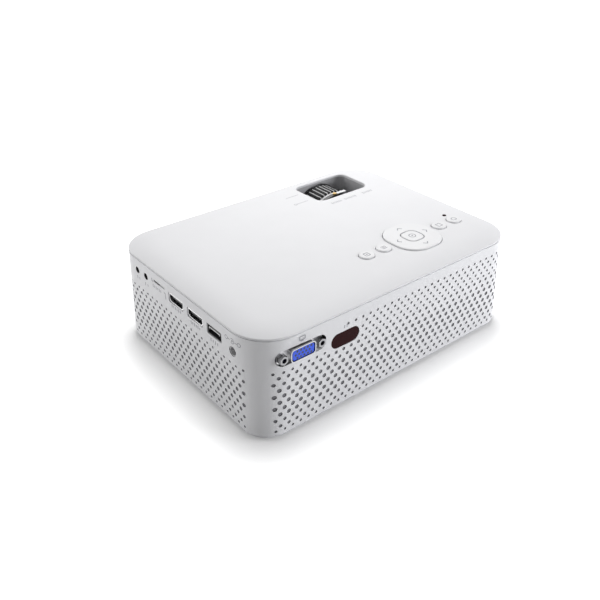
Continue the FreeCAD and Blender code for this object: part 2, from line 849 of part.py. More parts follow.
def main_board():
    x1 = x_side - wall - board_inset
    x0 = x1 - board_side_width
    y1 = y_rear - wall - board_inset
    z0 = z_board - board_thickness
    vga_x = x_side - vga_from_side
    x_end = x_side - board_rear_length
    side_arm = box(x0, x1, -y_rear + board_from_front, y1, z0, z_board)
    rear_arm = box(x_end, x1, y1 - board_rear_width, y1, z0, z_board)
    cuts = [box(vga_x - vga_body_w / 2, vga_x + vga_body_w / 2,
                y_rear - wall - vga_body_depth, y_rear, z0 - 1, z_board + 1),
            box(x_side - wall - dc_body_depth, x_side, y_rear - dc_from_rear - dc_body_w / 2,
                y_rear - dc_from_rear + dc_body_w / 2, z0 - 1, z_board + 1),
            box(boss_x - boss_r - slide_gap, x1 + 1, boss_y - boss_r - slide_gap, y1 + 1,
                z0 - 1, z_board + 1)]
    board = side_arm.fuse(rear_arm).cut(cuts).removeSplitter()
    ir_x = x_side - ir_from_side
    receiver = box(ir_x - 4.5, ir_x + 4.5, y_rear - wall - 6.5, y_rear - wall - 1.5,
                   z_floor + ir_height - 3.5, z0)
    chips = [block(x0 + 1 + chip_w / 2, y, chip_w, chip_l, z_board, z_board + chip_t)
             for y in (-y_rear + chip_from_front, y_rear - chip_from_rear)]
    chips.append(block(x_end + chip_l, y1 - board_rear_width / 2, chip_l, chip_l,
                       z_board, z_board + chip_t))
    return fuse([board, receiver] + chips)


def vga_shell():
    """Steel shell of the video inlet, with its flange behind the rear wall."""
    x = x_side - vga_from_side
    z = z_floor + vga_height
    y_in = y_rear - wall
    y_out = y_rear + rear_stand_out
    nose = socket_block_y(vga_shell_w, vga_shell_h, 2.2, y_in - 1.0, y_out, x, z)
    nose = nose.cut(socket_block_y(vga_shell_w - 2 * vga_shell_t, vga_shell_h - 2 * vga_shell_t,
                                   1.7, y_in - 2.0, y_out + 1, x, z))
    flange = box(x - vga_body_w / 2, x + vga_body_w / 2, y_in - 1.0, y_in,
                 z - vga_body_h / 2, z + vga_body_h / 2)
    flange = flange.cut(socket_block_y(vga_shell_w - 2 * vga_shell_t, vga_shell_h - 2 * vga_shell_t,
                                       1.7, y_in - 2.0, y_in + 1, x, z))
    holes = [rod_y(y_in - 2, y_in + 1, x + s * standoff_spacing / 2, z,
                   standoff_hole_r + port_gap) for s in (-1, 1)]
    return nose.fuse(flange).cut(holes)


def vga_insulator():
    """Blue moulding with its fifteen contact holes, backed by the connector body."""
    x = x_side - vga_from_side
    z = z_floor + vga_height
    y_in = y_rear - wall
    face = y_rear + rear_stand_out - 0.3
    tongue = socket_block_y(vga_face_w, vga_face_h, 1.5, y_in - 2.0, face, x, z)
    body = box(x - vga_body_w / 2, x + vga_body_w / 2, y_in - vga_body_depth, y_in - 1.0,
               z - vga_body_h / 2, z + vga_body_h / 2)
    pins = []
    for row in (-1, 0, 1):
        shift = vga_pin_pitch / 4 if row else -vga_pin_pitch / 4
        for column in range(-2, 3):
            pins.append(rod_y(face - vga_pin_depth, face + 1, x + column * vga_pin_pitch - shift,
                              z + row * vga_pin_row, vga_pin_r))
    bores = [rod_y(y_in - vga_body_depth - 1, y_in, x + s * standoff_spacing / 2, z,
                   standoff_hole_r + port_gap) for s in (-1, 1)]
    return body.fuse(tongue).cut(pins + bores)


def vga_standoffs():
    """Two hexagonal standoffs with female threads, plain bores at nominal size."""
    posts = []
    y_in = y_rear - wall
    y_out = y_rear + rear_stand_out
    for s in (-1, 1):
        x = x_side - vga_from_side + s * standoff_spacing / 2
        z = z_floor + vga_height
        corner = standoff_af / math.sqrt(3)
        points = [V(x + corner * math.cos(math.radians(60 * k + 30)), y_in,
                    z + corner * math.sin(math.radians(60 * k + 30))) for k in range(6)]
        hexagon = prism(points, V(0, y_out - y_in, 0))
        posts.append(hexagon.cut(rod_y(y_out - standoff_depth, y_out + 1, x, z, standoff_hole_r)))
    return Part.makeCompound(posts)


def ir_window():
    x = x_side - ir_from_side
    z = z_floor + ir_height
    y_in = y_rear - wall
    window = socket_block_y(ir_width - 2 * seat_fit, ir_window_h - 2 * seat_fit,
                            ir_window_h / 2 - seat_fit - 0.01, y_in, y_rear - 0.2, x, z)
    lip = socket_block_y(ir_width + 2 * ir_lip, ir_window_h + 2 * ir_lip, ir_window_h / 2,
                         y_in - ir_lip_t, y_in, x, z)
    return window.fuse(lip)


def dc_jack():
    y = y_rear - dc_from_rear
    z = z_floor + dc_height
    x_in = x_side - wall
    x_out = x_side - side_socket_recess
    body = box(x_in - dc_body_depth, x_in, y - dc_body_w / 2, y + dc_body_w / 2,
               z - dc_body_h / 2, z + dc_body_h / 2)
    body = body.fuse(rod_x(x_in - 1, x_out, y, z, dc_nose_r))
    body = body.cut(rod_x(x_out - dc_hole_depth, x_out + 1, y, z, dc_hole_r))
    return body.fuse(rod_x(x_out - dc_hole_depth - 0.5, x_out - dc_pin_recess, y, z, dc_pin_r))


def usb_socket():
    y = y_rear - usb_from_rear
    z = z_floor + usb_height
    x_out = x_side - side_socket_recess
    x_back = x_out - usb_depth
    shell = socket_block_x(usb_w, usb_h, 0.4, x_back, x_out, y, z)
    t = 2 * usb_shell_t
    shell = shell.cut(socket_block_x(usb_w - t, usb_h - t, 0.3, x_back + 1, x_out + 1, y, z))
    legs = box(x_back, x_side - wall - board_inset, y - usb_w / 2, y + usb_w / 2,
               z_board, z - usb_h / 2 + 0.2)
    return shell.fuse(legs)


def hdmi_outline(w, h, chamfer, x, y, z):
    points = [(-w / 2, h / 2), (w / 2, h / 2), (w / 2, -h / 2 + chamfer), (w / 2 - chamfer, -h / 2),
              (-w / 2 + chamfer, -h / 2), (-w / 2, -h / 2 + chamfer)]
    return [V(x, y + a, z + b) for a, b in points]


def hdmi_sockets():
    shells = []
    x_out = x_side - side_socket_recess
    x_back = x_out - hdmi_depth
    z = z_floor + hdmi_height
    t = hdmi_shell_t
    for from_rear in hdmi_from_rear:
        y = y_rear - from_rear
        shell = prism(hdmi_outline(hdmi_w, hdmi_h, hdmi_chamfer, x_back, y, z), V(hdmi_depth, 0, 0))
        hollow = hdmi_outline(hdmi_w - 2 * t, hdmi_h - 2 * t, hdmi_chamfer - t / 2, x_back + 1, y, z)
        shell = shell.cut(prism(hollow, V(hdmi_depth, 0, 0)))
        legs = box(x_back, x_side - wall - board_inset, y - hdmi_w / 2 + hdmi_chamfer,
                   y + hdmi_w / 2 - hdmi_chamfer, z_board, z - hdmi_h / 2 + 0.2)
        shells.append(shell.fuse(legs))
    return Part.makeCompound(shells)


def socket_tongues():
    """Contact tongues inside the two display sockets and the data socket."""
    x_out = x_side - side_socket_recess
    tongues = []
    z = z_floor + hdmi_height
    for from_rear in hdmi_from_rear:
        y = y_rear - from_rear
        tongues.append(box(x_out - hdmi_depth + 1, x_out - 1.2, y - hdmi_w / 2 + 2, y + hdmi_w / 2 - 2,
                           z - hdmi_tongue_t / 2, z + hdmi_tongue_t / 2))
    y = y_rear - usb_from_rear
    z = z_floor + usb_height + usb_h / 2 - usb_shell_t - usb_tongue_t - 0.5
    tongues.append(box(x_out - usb_depth + 1, x_out - 0.8, y - usb_w / 2 + 1, y + usb_w / 2 - 1,
                       z, z + usb_tongue_t))
    return Part.makeCompound(tongues)


def card_reader():
    y = y_rear - card_from_rear
    z = z_floor + card_height
    x_in = x_side - wall
    body = box(x_in - card_body_depth, x_in - 0.2, y - card_body_w / 2, y + card_body_w / 2,
               z_board, z + card_slot_h / 2 + 1.0)
    return body.cut(box(x_in - card_slot_depth, x_in, y - card_slot_w / 2, y + card_slot_w / 2,
                        z - card_slot_h / 2, z + card_slot_h / 2))


def audio_jacks():
    jacks = []
    z = z_floor + jack_height
    x_in = x_side - wall - 0.2
    for from_rear in jack_from_rear:
        y = y_rear - from_rear
        body = box(x_in - jack_body_depth, x_in, y - jack_body_w / 2, y + jack_body_w / 2,
                   z_board, z + jack_body_w / 2)
        jacks.append(body.cut(rod_x(x_in - jack_bore_depth, x_in + 1, y, z, jack_bore_r)))
    return Part.makeCompound(jacks)


# ---- optical engine ----

def engine_outline(grow, led_end):
    """Plan of the light box: tunnel along X and a chamber behind the folding mirror."""
    back = engine_y - lens_x + (mirror_back + grow) * math.sqrt(2)
    y0 = engine_y - engine_half_w - grow
    y1 = engine_y + engine_half_w + grow
    x0 = engine_left_end - grow
    return [(led_end, y0), (led_end, y1), (y1 - back, y1), (x0, x0 + back), (x0, y0)]


def engine_housing():
    def plan(grow, led_end, z0, z1):
        return prism([V(x, y, z0) for x, y in engine_outline(grow, led_end)], V(0, 0, z1 - z0))
    shape = plan(engine_wall, engine_led_end, engine_bottom, engine_top)
    shape = shape.cut(plan(0.0, engine_led_end + 1, lens_z - engine_half_h, lens_z + engine_half_h))
    shape = shape.cut(rod_y(engine_front - 1, engine_front + engine_wall + 1, lens_x, lens_z,
                            sleeve_r - sleeve_t))
    pads = [block(lens_x + engine_pad_from_lens, engine_y + step, engine_pad, engine_pad,
                  drive_top, engine_bottom + 0.5) for step in engine_pad_steps]
    return fuse([shape] + pads)


def led_board():
    h = engine_half_w
    v = engine_half_h
    board = box(engine_led_end, engine_led_end + led_board_t, engine_y - h - engine_wall,
                engine_y + h + engine_wall, lens_z - v - engine_roof, lens_z + v + engine_roof)
    chip = box(engine_led_end - led_chip_t, engine_led_end, engine_y - led_chip / 2,
               engine_y + led_chip / 2, lens_z - led_chip / 2, lens_z + led_chip / 2)
    return board.fuse(chip)


def led_heatsink():
    half = engine_half_w + engine_wall
    z0 = lens_z - engine_half_h - engine_roof
    z1 = lens_z + engine_half_h + engine_roof
    solids = [box(sink_x, sink_x + sink_base_t, engine_y - half, engine_y + half, z0, z1)]
    pitch = (2 * half - sink_fin_t) / (sink_fins - 1)
    for index in range(sink_fins):
        y = engine_y - half + index * pitch
        solids.append(box(sink_x + sink_base_t - 0.5, sink_x + sink_depth, y, y + sink_fin_t, z0, z1))
    return fuse(solids)


def bulged_disc(r, edge, bulge, base, direction):
    """Plano-convex lens: flat face at base, bulging along direction."""
    across = Z_AXIS
    tip = base + direction * (edge + bulge)
    rim = base + direction * edge + across * r
    sphere_r = (r ** 2 + bulge ** 2) / (2 * bulge)
    half_angle = math.asin(r / sphere_r) / 2
    centre = tip - direction * sphere_r
    middle = centre + (direction * math.cos(half_angle) + across * math.sin(half_angle)) * sphere_r
    wire = Part.Wire([Part.makeLine(base, base + across * r), Part.makeLine(base + across * r, rim),
                      Part.Arc(rim, middle, tip).toShape(), Part.makeLine(tip, base)])
    lens = Part.Face(wire).revolve(base, direction, 360)
    return lens if lens.Volume > 0 else lens.reversed()


def engine_lenses():
    """Condenser lens and the two Fresnel sheets either side of the picture panel."""
    condenser = bulged_disc(engine_half_h - slot_fit, condenser_edge, condenser_bulge,
                            V(lens_x + condenser_from_lens, engine_y, lens_z), V(-1, 0, 0))
    sheets = []
    for step in fresnel_from_lens:
        x = lens_x + step
        sheets.append(box(x, x + fresnel_t, engine_y - engine_half_w + slot_fit,
                          engine_y + engine_half_w - slot_fit, lens_z - engine_half_h + slot_fit,
                          lens_z + engine_half_h - slot_fit))
    return Part.makeCompound([condenser] + sheets)


def lcd_panel():
    x = lens_x + lcd_from_lens
    return box(x, x + lcd_t, engine_y - engine_half_w + slot_fit,
               engine_y + engine_half_w - slot_fit, lens_z - engine_half_h + slot_fit,
               lens_z + engine_half_h - slot_fit)


def fold_mirror():
    plate = box(-mirror_half_l, mirror_half_l, 0.0, mirror_t, -engine_half_h + slot_fit,
                engine_half_h - slot_fit)
    plate.rotate(V(0, 0, 0), Z_AXIS, 45)
    plate.translate(V(lens_x, engine_y, lens_z))
    return plate


# ---- lens ----

def lens_mount():
    """Plate on the light box, with the sleeve that the focus ring turns on."""
    plate_y = engine_front - mount_plate_t
    plate = box(lens_x - mount_plate_w / 2, lens_x + mount_plate_w / 2, plate_y, engine_front,
                engine_bottom, engine_top)
    sleeve = rod_y(ring_front, plate_y + 0.5, lens_x, lens_z, sleeve_r)
    shoulder = rod_y(ring_rear + slide_gap, ring_rear + slide_gap + shoulder_w, lens_x, lens_z,
                     shoulder_r)
    shape = fuse([plate, sleeve, shoulder])
    return shape.cut(rod_y(ring_front - 1, engine_front + 1, lens_x, lens_z, sleeve_r - sleeve_t))


def ring_profile(y, groove):
    """Closed outline of the ribbed ring in its own plane, rib tops on arcs."""
    edges = []
    low = ring_r - groove
    half = rib_groove_w / 2 / ring_r
    step = 2 * math.pi / rib_count

    def at(r, a):
        return V(lens_x + r * math.cos(a), y, lens_z + r * math.sin(a))
    for k in range(rib_count):
        a0 = k * step + half
        a1 = (k + 1) * step - half
        edges.append(Part.Arc(at(ring_r, a0), at(ring_r, (a0 + a1) / 2), at(ring_r, a1)).toShape())
        edges.append(Part.makeLine(at(ring_r, a1), at(low, a1)))
        edges.append(Part.makeLine(at(low, a1), at(low, a1 + 2 * half)))
        edges.append(Part.makeLine(at(low, a1 + 2 * half), at(ring_r, a1 + 2 * half)))
    return Part.Wire(edges)


def focus_ring():
    body = Part.Face(ring_profile(ring_front + ring_band, rib_groove_depth))
    body = body.extrude(V(0, ring_rear - ring_front - 2 * ring_band, 0))
    front = rod_y(ring_front, ring_front + ring_band, lens_x, lens_z, ring_r)
    rear = rod_y(ring_rear - ring_band, ring_rear, lens_x, lens_z, ring_r - rib_groove_depth)
    ring = fuse([body, front, rear])
    return ring.cut(rod_y(ring_front - 1, ring_rear + 1, lens_x, lens_z, sleeve_r + run_fit))


def lens_barrel():
    r = sleeve_r - sleeve_t - run_fit
    tube = rod_y(barrel_front, barrel_rear, lens_x, lens_z, r)
    return tube.cut(rod_y(barrel_front - 1, barrel_rear + 1, lens_x, lens_z, r - barrel_t))


def lens_elements():
    r = sleeve_r - sleeve_t - run_fit - barrel_t - seat_fit
    front = bulged_disc(r, lens_edge, front_lens_t - lens_edge,
                        V(lens_x, barrel_front + front_lens_t + 0.8, lens_z), V(0, -1, 0))
    rear = bulged_disc(r, lens_edge, rear_lens_t - lens_edge,
                       V(lens_x, barrel_rear - rear_lens_t - 1.0, lens_z), Y_AXIS)
    return Part.makeCompound([front, rear])


def stop_plate():
    """Bright end stop beside the focus ring, on the shoulder."""
    y0 = ring_rear + slide_gap
    x1 = lens_x - stop_plate_from_axis
    z1 = lens_z + shoulder_r + stop_plate_rise
    plate = box(x1 - stop_plate_w, x1, y0, y0 + shoulder_w, z1 - stop_plate_h, z1)
    return plate.cut(rod_y(y0 - 1, y0 + shoulder_w + 1, lens_x, lens_z, shoulder_r))


def mount_screws():
    """Brass screws of the lens mount's plate, and the one beside the stop plate."""
    y = engine_front - mount_plate_t
    screws = []
    for sx in (-1, 1):
        for sz in (-1, 1):
            screws.append(rod_y(y - mount_screw_head_h, y, lens_x + sx * (mount_plate_w / 2 - 3),
                                lens_z + sz * (engine_half_h - 2.5), mount_screw_head_r))
    y = ring_rear + slide_gap + shoulder_w / 2
    z = lens_z + shoulder_r
    head = rod_z(z - stop_screw_h, z + stop_screw_h, lens_x - stop_screw_r / 2, y, stop_screw_r)
    head = head.cut(rod_y(y - stop_screw_r - 1, y + stop_screw_r + 1, lens_x, lens_z, shoulder_r))
    return Part.makeCompound(screws + [head])


# ---- fans ----

def fan_frame(size, thickness, x0, y, z):
    """Square frame with struts and a motor plate on its -X side."""
    frame = box(x0, x0 + thickness, y - size / 2, y + size / 2, z - size / 2, z + size / 2)
    frame = frame.cut(rod_x(x0 - 1, x0 + thickness + 1, y, z, size / 2 - fan_rim))
    hub_r = size / 2 * fan_hub_share
    plate = rod_x(x0, x0 + fan_plate_t, y, z, hub_r)
    struts = []
    reach = size / 2 - fan_rim / 2
    struts.append(box(x0, x0 + fan_plate_t, y - reach, y + reach, z - fan_strut / 2, z + fan_strut / 2))
    struts.append(box(x0, x0 + fan_plate_t, y - fan_strut / 2, y + fan_strut / 2, z - reach, z + reach))
    axle = rod_x(x0 + fan_plate_t - 0.5, x0 + thickness - 2.5, y, z, fan_axle_r)
    return fuse([frame, plate, axle] + struts)


def fan_rotor(size, thickness, x0, y, z):
    """Hub with slanted blades, turning on the frame's axle."""
    hub_r = size / 2 * fan_hub_share
    x_back = x0 + fan_plate_t + slide_gap
    x_front = x0 + thickness - 1.0
    solids = [rod_x(x_back, x_front, y, z, hub_r)]
    tip = size / 2 - fan_rim - fan_blade_gap
    chord = (x_front - x_back - 1.0) / math.cos(math.radians(fan_blade_angle))
    middle = (x_back + x_front) / 2
    for k in range(fan_blades):
        blade = box(-chord / 2, chord / 2, -fan_blade_t / 2, fan_blade_t / 2, hub_r - 1.0, tip - 0.6)
        blade.rotate(V(0, 0, 0), Z_AXIS, fan_blade_angle)
        blade.translate(V(middle, y, z))
        blade.rotate(V(middle, y, z), X_AXIS, 360.0 * k / fan_blades)
        solids.append(blade)
    keep = rod_x(x_back, x_front, y, z, tip)
    rotor = fuse(solids).common(keep)
    return rotor.cut(rod_x(x_back - 1, x0 + thickness - 2.2, y, z, fan_axle_r + run_fit))


led_fan_place = (led_fan, led_fan_t, led_fan_x, engine_y, lens_z)
out_fan_place = (out_fan, out_fan_t, -x_side + wall + out_fan_wall_gap, out_fan_y,
                 z_deck + out_fan / 2)


def speaker():
    y0 = -y_rear + wall
    basket = rod_y(y0, y0 + speaker_basket_t, speaker_x, speaker_z, speaker_r)
    basket = basket.cut(Part.makeCone(speaker_r - 1.5, speaker_magnet_r * 0.5, speaker_basket_t - 1.0,
                                      V(speaker_x, y0, speaker_z), Y_AXIS))
    magnet = rod_y(y0 + speaker_basket_t - 0.5, y0 + speaker_basket_t + speaker_magnet_t,
                   speaker_x, speaker_z, speaker_magnet_r)
    return basket.fuse(magnet)


# ---- disc drive ----

def drive_chassis():
    outer = box(drive_left, drive_right, drive_front, drive_rear, z_deck, drive_top - drive_sheet)
    inner = box(drive_left + drive_sheet, drive_right - drive_sheet, drive_front - 1,
                drive_rear - drive_sheet, z_deck + drive_sheet, drive_top)
    return outer.cut(inner)


def drive_lid():
    return box(drive_left, drive_right, drive_front, drive_rear, drive_top - drive_sheet, drive_top)


def tray_rails():
    z = (tray_bottom + tray_top) / 2
    rails = []
    for s in (-1, 1):
        middle = drive_x + s * (tray_half_w + slide_gap + tray_rail_t / 2)
        rails.append(block(middle, (tray_front + tray_rear) / 2, tray_rail_t,
                           tray_rear - tray_front - 2, z - tray_rail_h / 2, z + tray_rail_h / 2))
    return Part.makeCompound(rails)


def disc_tray():
    """Tray with the disc's recess, the spindle's well and the pickup's slot."""
    x0 = drive_x - tray_half_w
    x1 = drive_x + tray_half_w
    plate_z = tray_top - tray_plate_t
    shape = box(x0, x1, tray_front, tray_rear, tray_bottom, tray_top)
    cuts = [box(x0 + tray_wall, x1 - tray_wall, tray_front + tray_wall, tray_rear - tray_wall,
                tray_bottom - 1, plate_z),
            rod_z(tray_top - disc_recess_depth, tray_top + 1, drive_x, spindle_y, disc_recess_r),
            rod_z(plate_z - 1, tray_top, drive_x, spindle_y, spindle_well_r),
            box(drive_x - tray_slot_half_w, drive_x + tray_slot_half_w,
                tray_front + disc_recess_edge, spindle_y, plate_z - 1, tray_top)]
    return shape.cut(cuts)


def tray_bezel():
    z0 = z_deck + bezel_clear
    z1 = drive_top - bezel_clear + drive_slot_clear
    plate = box(drive_left, drive_right, -y_rear, -y_rear + bezel_plate_t, z0, z1)
    ez = z_deck + eject_from_bottom
    hole = box(eject_x - eject_w / 2 - slide_gap, eject_x + eject_w / 2 + slide_gap, -y_rear - 1,
               -y_rear + bezel_plate_t + 1, ez - slide_gap, ez + eject_h + slide_gap)
    return plate.cut(hole)


def eject_button():
    ez = z_deck + eject_from_bottom
    return box(eject_x - eject_w / 2, eject_x + eject_w / 2, -y_rear, -y_rear + eject_t,
               ez, ez + eject_h)


def sled_span():
    """Front and rear end of the pickup's free run between the end blocks."""
    return tray_front + tray_wall + end_block_t, spindle_y - rotor_r - 1.0 - end_block_t


def motor_base():
    """Steel plate under the tray with the motor's stator, two guide rods and end blocks."""
    z0 = tray_bottom
    z1 = z0 + mech_plate_t
    front, inner = sled_span()
    half = screw_offset + 4.0
    plate = box(drive_x - half, drive_x + half, front - end_block_t,
                spindle_y + rotor_r + mech_rear, z0, z1)
    stator = rod_z(z1 - 0.3, z1 + stator_h, drive_x, spindle_y, stator_r)
    stator = stator.cut(rod_z(z1, z1 + stator_h + 1, drive_x, spindle_y, spindle_shaft_r + run_fit))
    solids = [plate, stator]
    for s in (-1, 1):
        solids.append(rod_y(front - 0.5, inner + 0.5, drive_x + s * rod_spread, z1 + rod_height, rod_r))
    for y in (front - end_block_t, inner):
        solids.append(box(drive_x - half, drive_x + half, y, y + end_block_t, z1 - 0.2,
                          tray_top - tray_plate_t - 0.2))
    shape = fuse(solids)
    return shape.cut(rod_y(front - end_block_t - 1, inner + end_block_t + 1, drive_x + screw_offset,
                           z1 + rod_height, lead_screw_r + run_fit))


def lead_screw():
    front, inner = sled_span()
    return rod_y(front - end_block_t + 0.2, inner + end_block_t + 1.5, drive_x + screw_offset,
                 tray_bottom + mech_plate_t + rod_height, lead_screw_r)


def spindle_hub():
    """Motor rotor, disc table and the nose that centres the disc."""
    z0 = tray_bottom + mech_plate_t + stator_h + slide_gap
    table = z0 + rotor_h
    rotor = rod_z(z0, table, drive_x, spindle_y, rotor_r)
    nose = rod_z(table - 0.5, table + hub_nose_h, drive_x, spindle_y, hub_r)
    shaft = rod_z(tray_bottom + mech_plate_t + 0.2, z0 + 0.5, drive_x, spindle_y, spindle_shaft_r)
    return fuse([rotor, nose, shaft])


def pickup_sled():
    """Pickup on the two guide rods, with its objective lens and lead screw follower."""
    z1 = tray_bottom + mech_plate_t
    rod_z0 = z1 + rod_height
    y1 = sled_span()[1] - sled_end_gap
    y0 = y1 - sled_length
    body = box(drive_x - sled_w / 2, drive_x + sled_w / 2, y0, y1, z1 + 0.3, z1 + 0.3 + sled_height)
    cuts = [rod_y(y0 - 1, y1 + 1, drive_x + s * rod_spread, rod_z0, rod_r + run_fit)
            for s in (-1, 1)]
    lens = rod_z(z1 + sled_height, z1 + 0.3 + sled_height + objective_h, drive_x,
                 (y0 + y1) / 2 - objective_offset, objective_r)
    return body.fuse(lens).cut(cuts)


# ---- keys ----

def key_cap(x, y, w, d, r, stand_out, flange_top):
    """Pillow-edged cap with a retaining flange under the cover and a stem to its switch."""
    top = z_top + stand_out
    cap = rounded_block(w, d, r, flange_top - key_flange_t, top, x, y)
    rim = [e for e in cap.Edges if e.BoundBox.ZMin > top - 1e-6]
    cap = cap.makeFillet(key_edge_r, rim)
    flange = rounded_block(w + 2 * key_flange, d + 2 * key_flange, r + key_flange,
                           flange_top - key_flange_t, flange_top, x, y)
    stem = rod_z(z_switch + key_travel + 0.1, flange_top - 0.1, x, y, key_stem_r)
    return fuse([cap, flange, stem])


def nav_pad():
    """Four-way pad round the middle key; it rocks on its pivot ring."""
    top = z_top + key_stand_out
    low = z_ceiling - pad_flange_drop - key_flange_t
    pad = rounded_block(pad_w, pad_w, pad_r, low, top, ok_x, key_y)
    rim = [e for e in pad.Edges if e.BoundBox.ZMin > top - 1e-6]
    pad = pad.makeFillet(key_edge_r, rim)
    outer = pad_w + 2 * key_flange
    pad = pad.fuse(rounded_block(outer, outer, pad_r + key_flange, low, low + key_flange_t,
                                 ok_x, key_y))
    hole = ok_key_w + 2 * cap_gap
    cuts = [rounded_block(hole, hole, ok_key_r + cap_gap, low - 1, top + 1, ok_x, key_y),
            rounded_block(pivot_w + 2 * pivot_room, pivot_w + 2 * pivot_room, pivot_r + pivot_room,
                          low - 1, z_pad_web, ok_x, key_y)]
    pad = pad.cut(cuts)
    pips = []
    for sx, sy in ((1, 0), (-1, 0), (0, 1), (0, -1)):
        pips.append(rod_z(z_switch + pad_pip_gap, low + 0.5, ok_x + sx * pad_pip_from_ok,
                          key_y + sy * pad_pip_from_ok, key_stem_r * 0.8))
    return fuse([pad] + pips)


def pivot_points(along):
    """The two points of the pivot ring's frame that lie on the axis along."""
    reach = (pivot_w + pivot_inner_w) / 4
    return [V(ok_x, key_y, 0) + along * s * reach for s in (-1, 1)]


def nav_pivot():
    """Square ring between the pad and the board, which lets the pad rock both ways."""
    ring = rounded_block(pivot_w, pivot_w, pivot_r, z_pivot, z_pivot + pivot_t, ok_x, key_y)
    ring = ring.cut(block(ok_x, key_y, pivot_inner_w, pivot_inner_w, z_pivot - 1, z_pivot + 2))
    top = z_pad_web - pivot_gap
    return fuse([ring] + [rod_z(z_pivot, top, p.x, p.y, pivot_nub_r) for p in pivot_points(Y_AXIS)])


def key_board():
    """Board for the key switches, with two pegs under the pivot ring."""
    left = -x_side + key_board_side
    right = -x_side + home_from_left + small_key_w / 2 + 7.0
    low = z_key_board - key_board_t
    board = box(left, right, key_y - key_board_depth / 2, key_y + key_board_depth / 2,
                low, z_key_board)
    pegs = [rod_z(low, z_pivot - pivot_gap, p.x, p.y, pivot_nub_r) for p in pivot_points(X_AXIS)]
    return fuse([board] + pegs)


def key_switches():
    places = [(x, y) for _, x, y, _, _, _ in key_places()]
    places.append((ok_x, key_y))
    for sx, sy in ((1, 0), (-1, 0), (0, 1), (0, -1)):
        places.append((ok_x + sx * pad_pip_from_ok, key_y + sy * pad_pip_from_ok))
    return Part.makeCompound([block(x, y, switch_w, switch_w, z_key_board, z_switch)
                              for x, y in places])


def status_led():
    x = -x_side + led_from_left
    y = y_rear - led_from_rear
    return rod_z(z_key_board, z_top + 0.1, x, y, led_r)


def write(name, shape):
    solids = shape.Solids
    if not solids or not all(s.isValid() for s in solids):
        raise ValueError(name + " is not a valid solid")
    if shape.ShapeType == "Compound" and len(solids) == 1:
        shape = solids[0]
    shape.exportStep("parts/" + name + ".step")


def main():
    os.makedirs("parts", exist_ok=True)
    for make in (base_shell, rear_grille, port_grille, left_grille, front_panel, top_cover,
                 focus_well, lens_bezel, rubber_feet, tripod_insert, tilt_leg, case_screws,
                 main_board, vga_shell, vga_insulator, vga_standoffs, ir_window, dc_jack,
                 usb_socket, hdmi_sockets, socket_tongues, card_reader, audio_jacks,
                 engine_housing, led_board, led_heatsink, engine_lenses, lcd_panel, fold_mirror,
                 lens_mount, focus_ring, lens_barrel, lens_elements, stop_plate, mount_screws,
                 speaker, drive_chassis, drive_lid, tray_rails, disc_tray, tray_bezel,
                 eject_button, motor_base, lead_screw, spindle_hub, pickup_sled, nav_pad,
                 nav_pivot, key_board, key_switches, status_led):
        write(make.__name__, make())
    write("led_fan_frame", fan_frame(*led_fan_place))
    write("led_fan_rotor", fan_rotor(*led_fan_place))
    write("exhaust_fan_frame", fan_frame(*out_fan_place))
    write("exhaust_fan_rotor", fan_rotor(*out_fan_place))
    for name, x, y, w, d, r in key_places():
        write(name + "_button", key_cap(x, y, w, d, r, key_stand_out, z_flange))
    write("ok_button", key_cap(ok_x, key_y, ok_key_w, ok_key_w, ok_key_r, ok_stand_out,
                               z_flange - ok_flange_drop))


main()
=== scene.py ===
"""Looks of the projector: perforated case, crowned cover, printed marks, finishes and light."""
import itertools
import json
from math import atan, copysign, cos, dist, hypot, inf, pi, radians, sin, sqrt

import bpy
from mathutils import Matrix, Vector
from mathutils.geometry import delaunay_2d_cdt

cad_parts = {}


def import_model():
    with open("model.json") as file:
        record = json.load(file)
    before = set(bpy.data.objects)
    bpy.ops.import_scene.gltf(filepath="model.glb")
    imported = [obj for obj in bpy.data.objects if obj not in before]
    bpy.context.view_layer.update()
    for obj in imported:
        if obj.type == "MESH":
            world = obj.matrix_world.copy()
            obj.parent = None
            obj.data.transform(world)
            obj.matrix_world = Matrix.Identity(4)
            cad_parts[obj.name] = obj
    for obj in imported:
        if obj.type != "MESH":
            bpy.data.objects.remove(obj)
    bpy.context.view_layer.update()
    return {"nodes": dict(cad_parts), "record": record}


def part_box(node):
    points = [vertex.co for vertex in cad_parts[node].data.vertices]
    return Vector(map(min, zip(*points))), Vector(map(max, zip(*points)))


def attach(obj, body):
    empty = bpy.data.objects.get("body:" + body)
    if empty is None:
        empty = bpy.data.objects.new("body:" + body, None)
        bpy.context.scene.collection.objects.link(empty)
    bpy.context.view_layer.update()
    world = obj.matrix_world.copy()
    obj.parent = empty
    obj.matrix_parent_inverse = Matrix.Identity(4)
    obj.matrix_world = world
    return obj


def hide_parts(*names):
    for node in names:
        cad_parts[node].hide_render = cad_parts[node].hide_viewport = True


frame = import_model()

# ---- sizes, in millimetres unless a name says otherwise ----
MM = 0.001


def corners(node):
    """Lowest and highest corner of a CAD node, in millimetres."""
    low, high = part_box(node)
    return Vector(low) / MM, Vector(high) / MM


def middle_of(node):
    low, high = corners(node)
    return (low + high) / 2


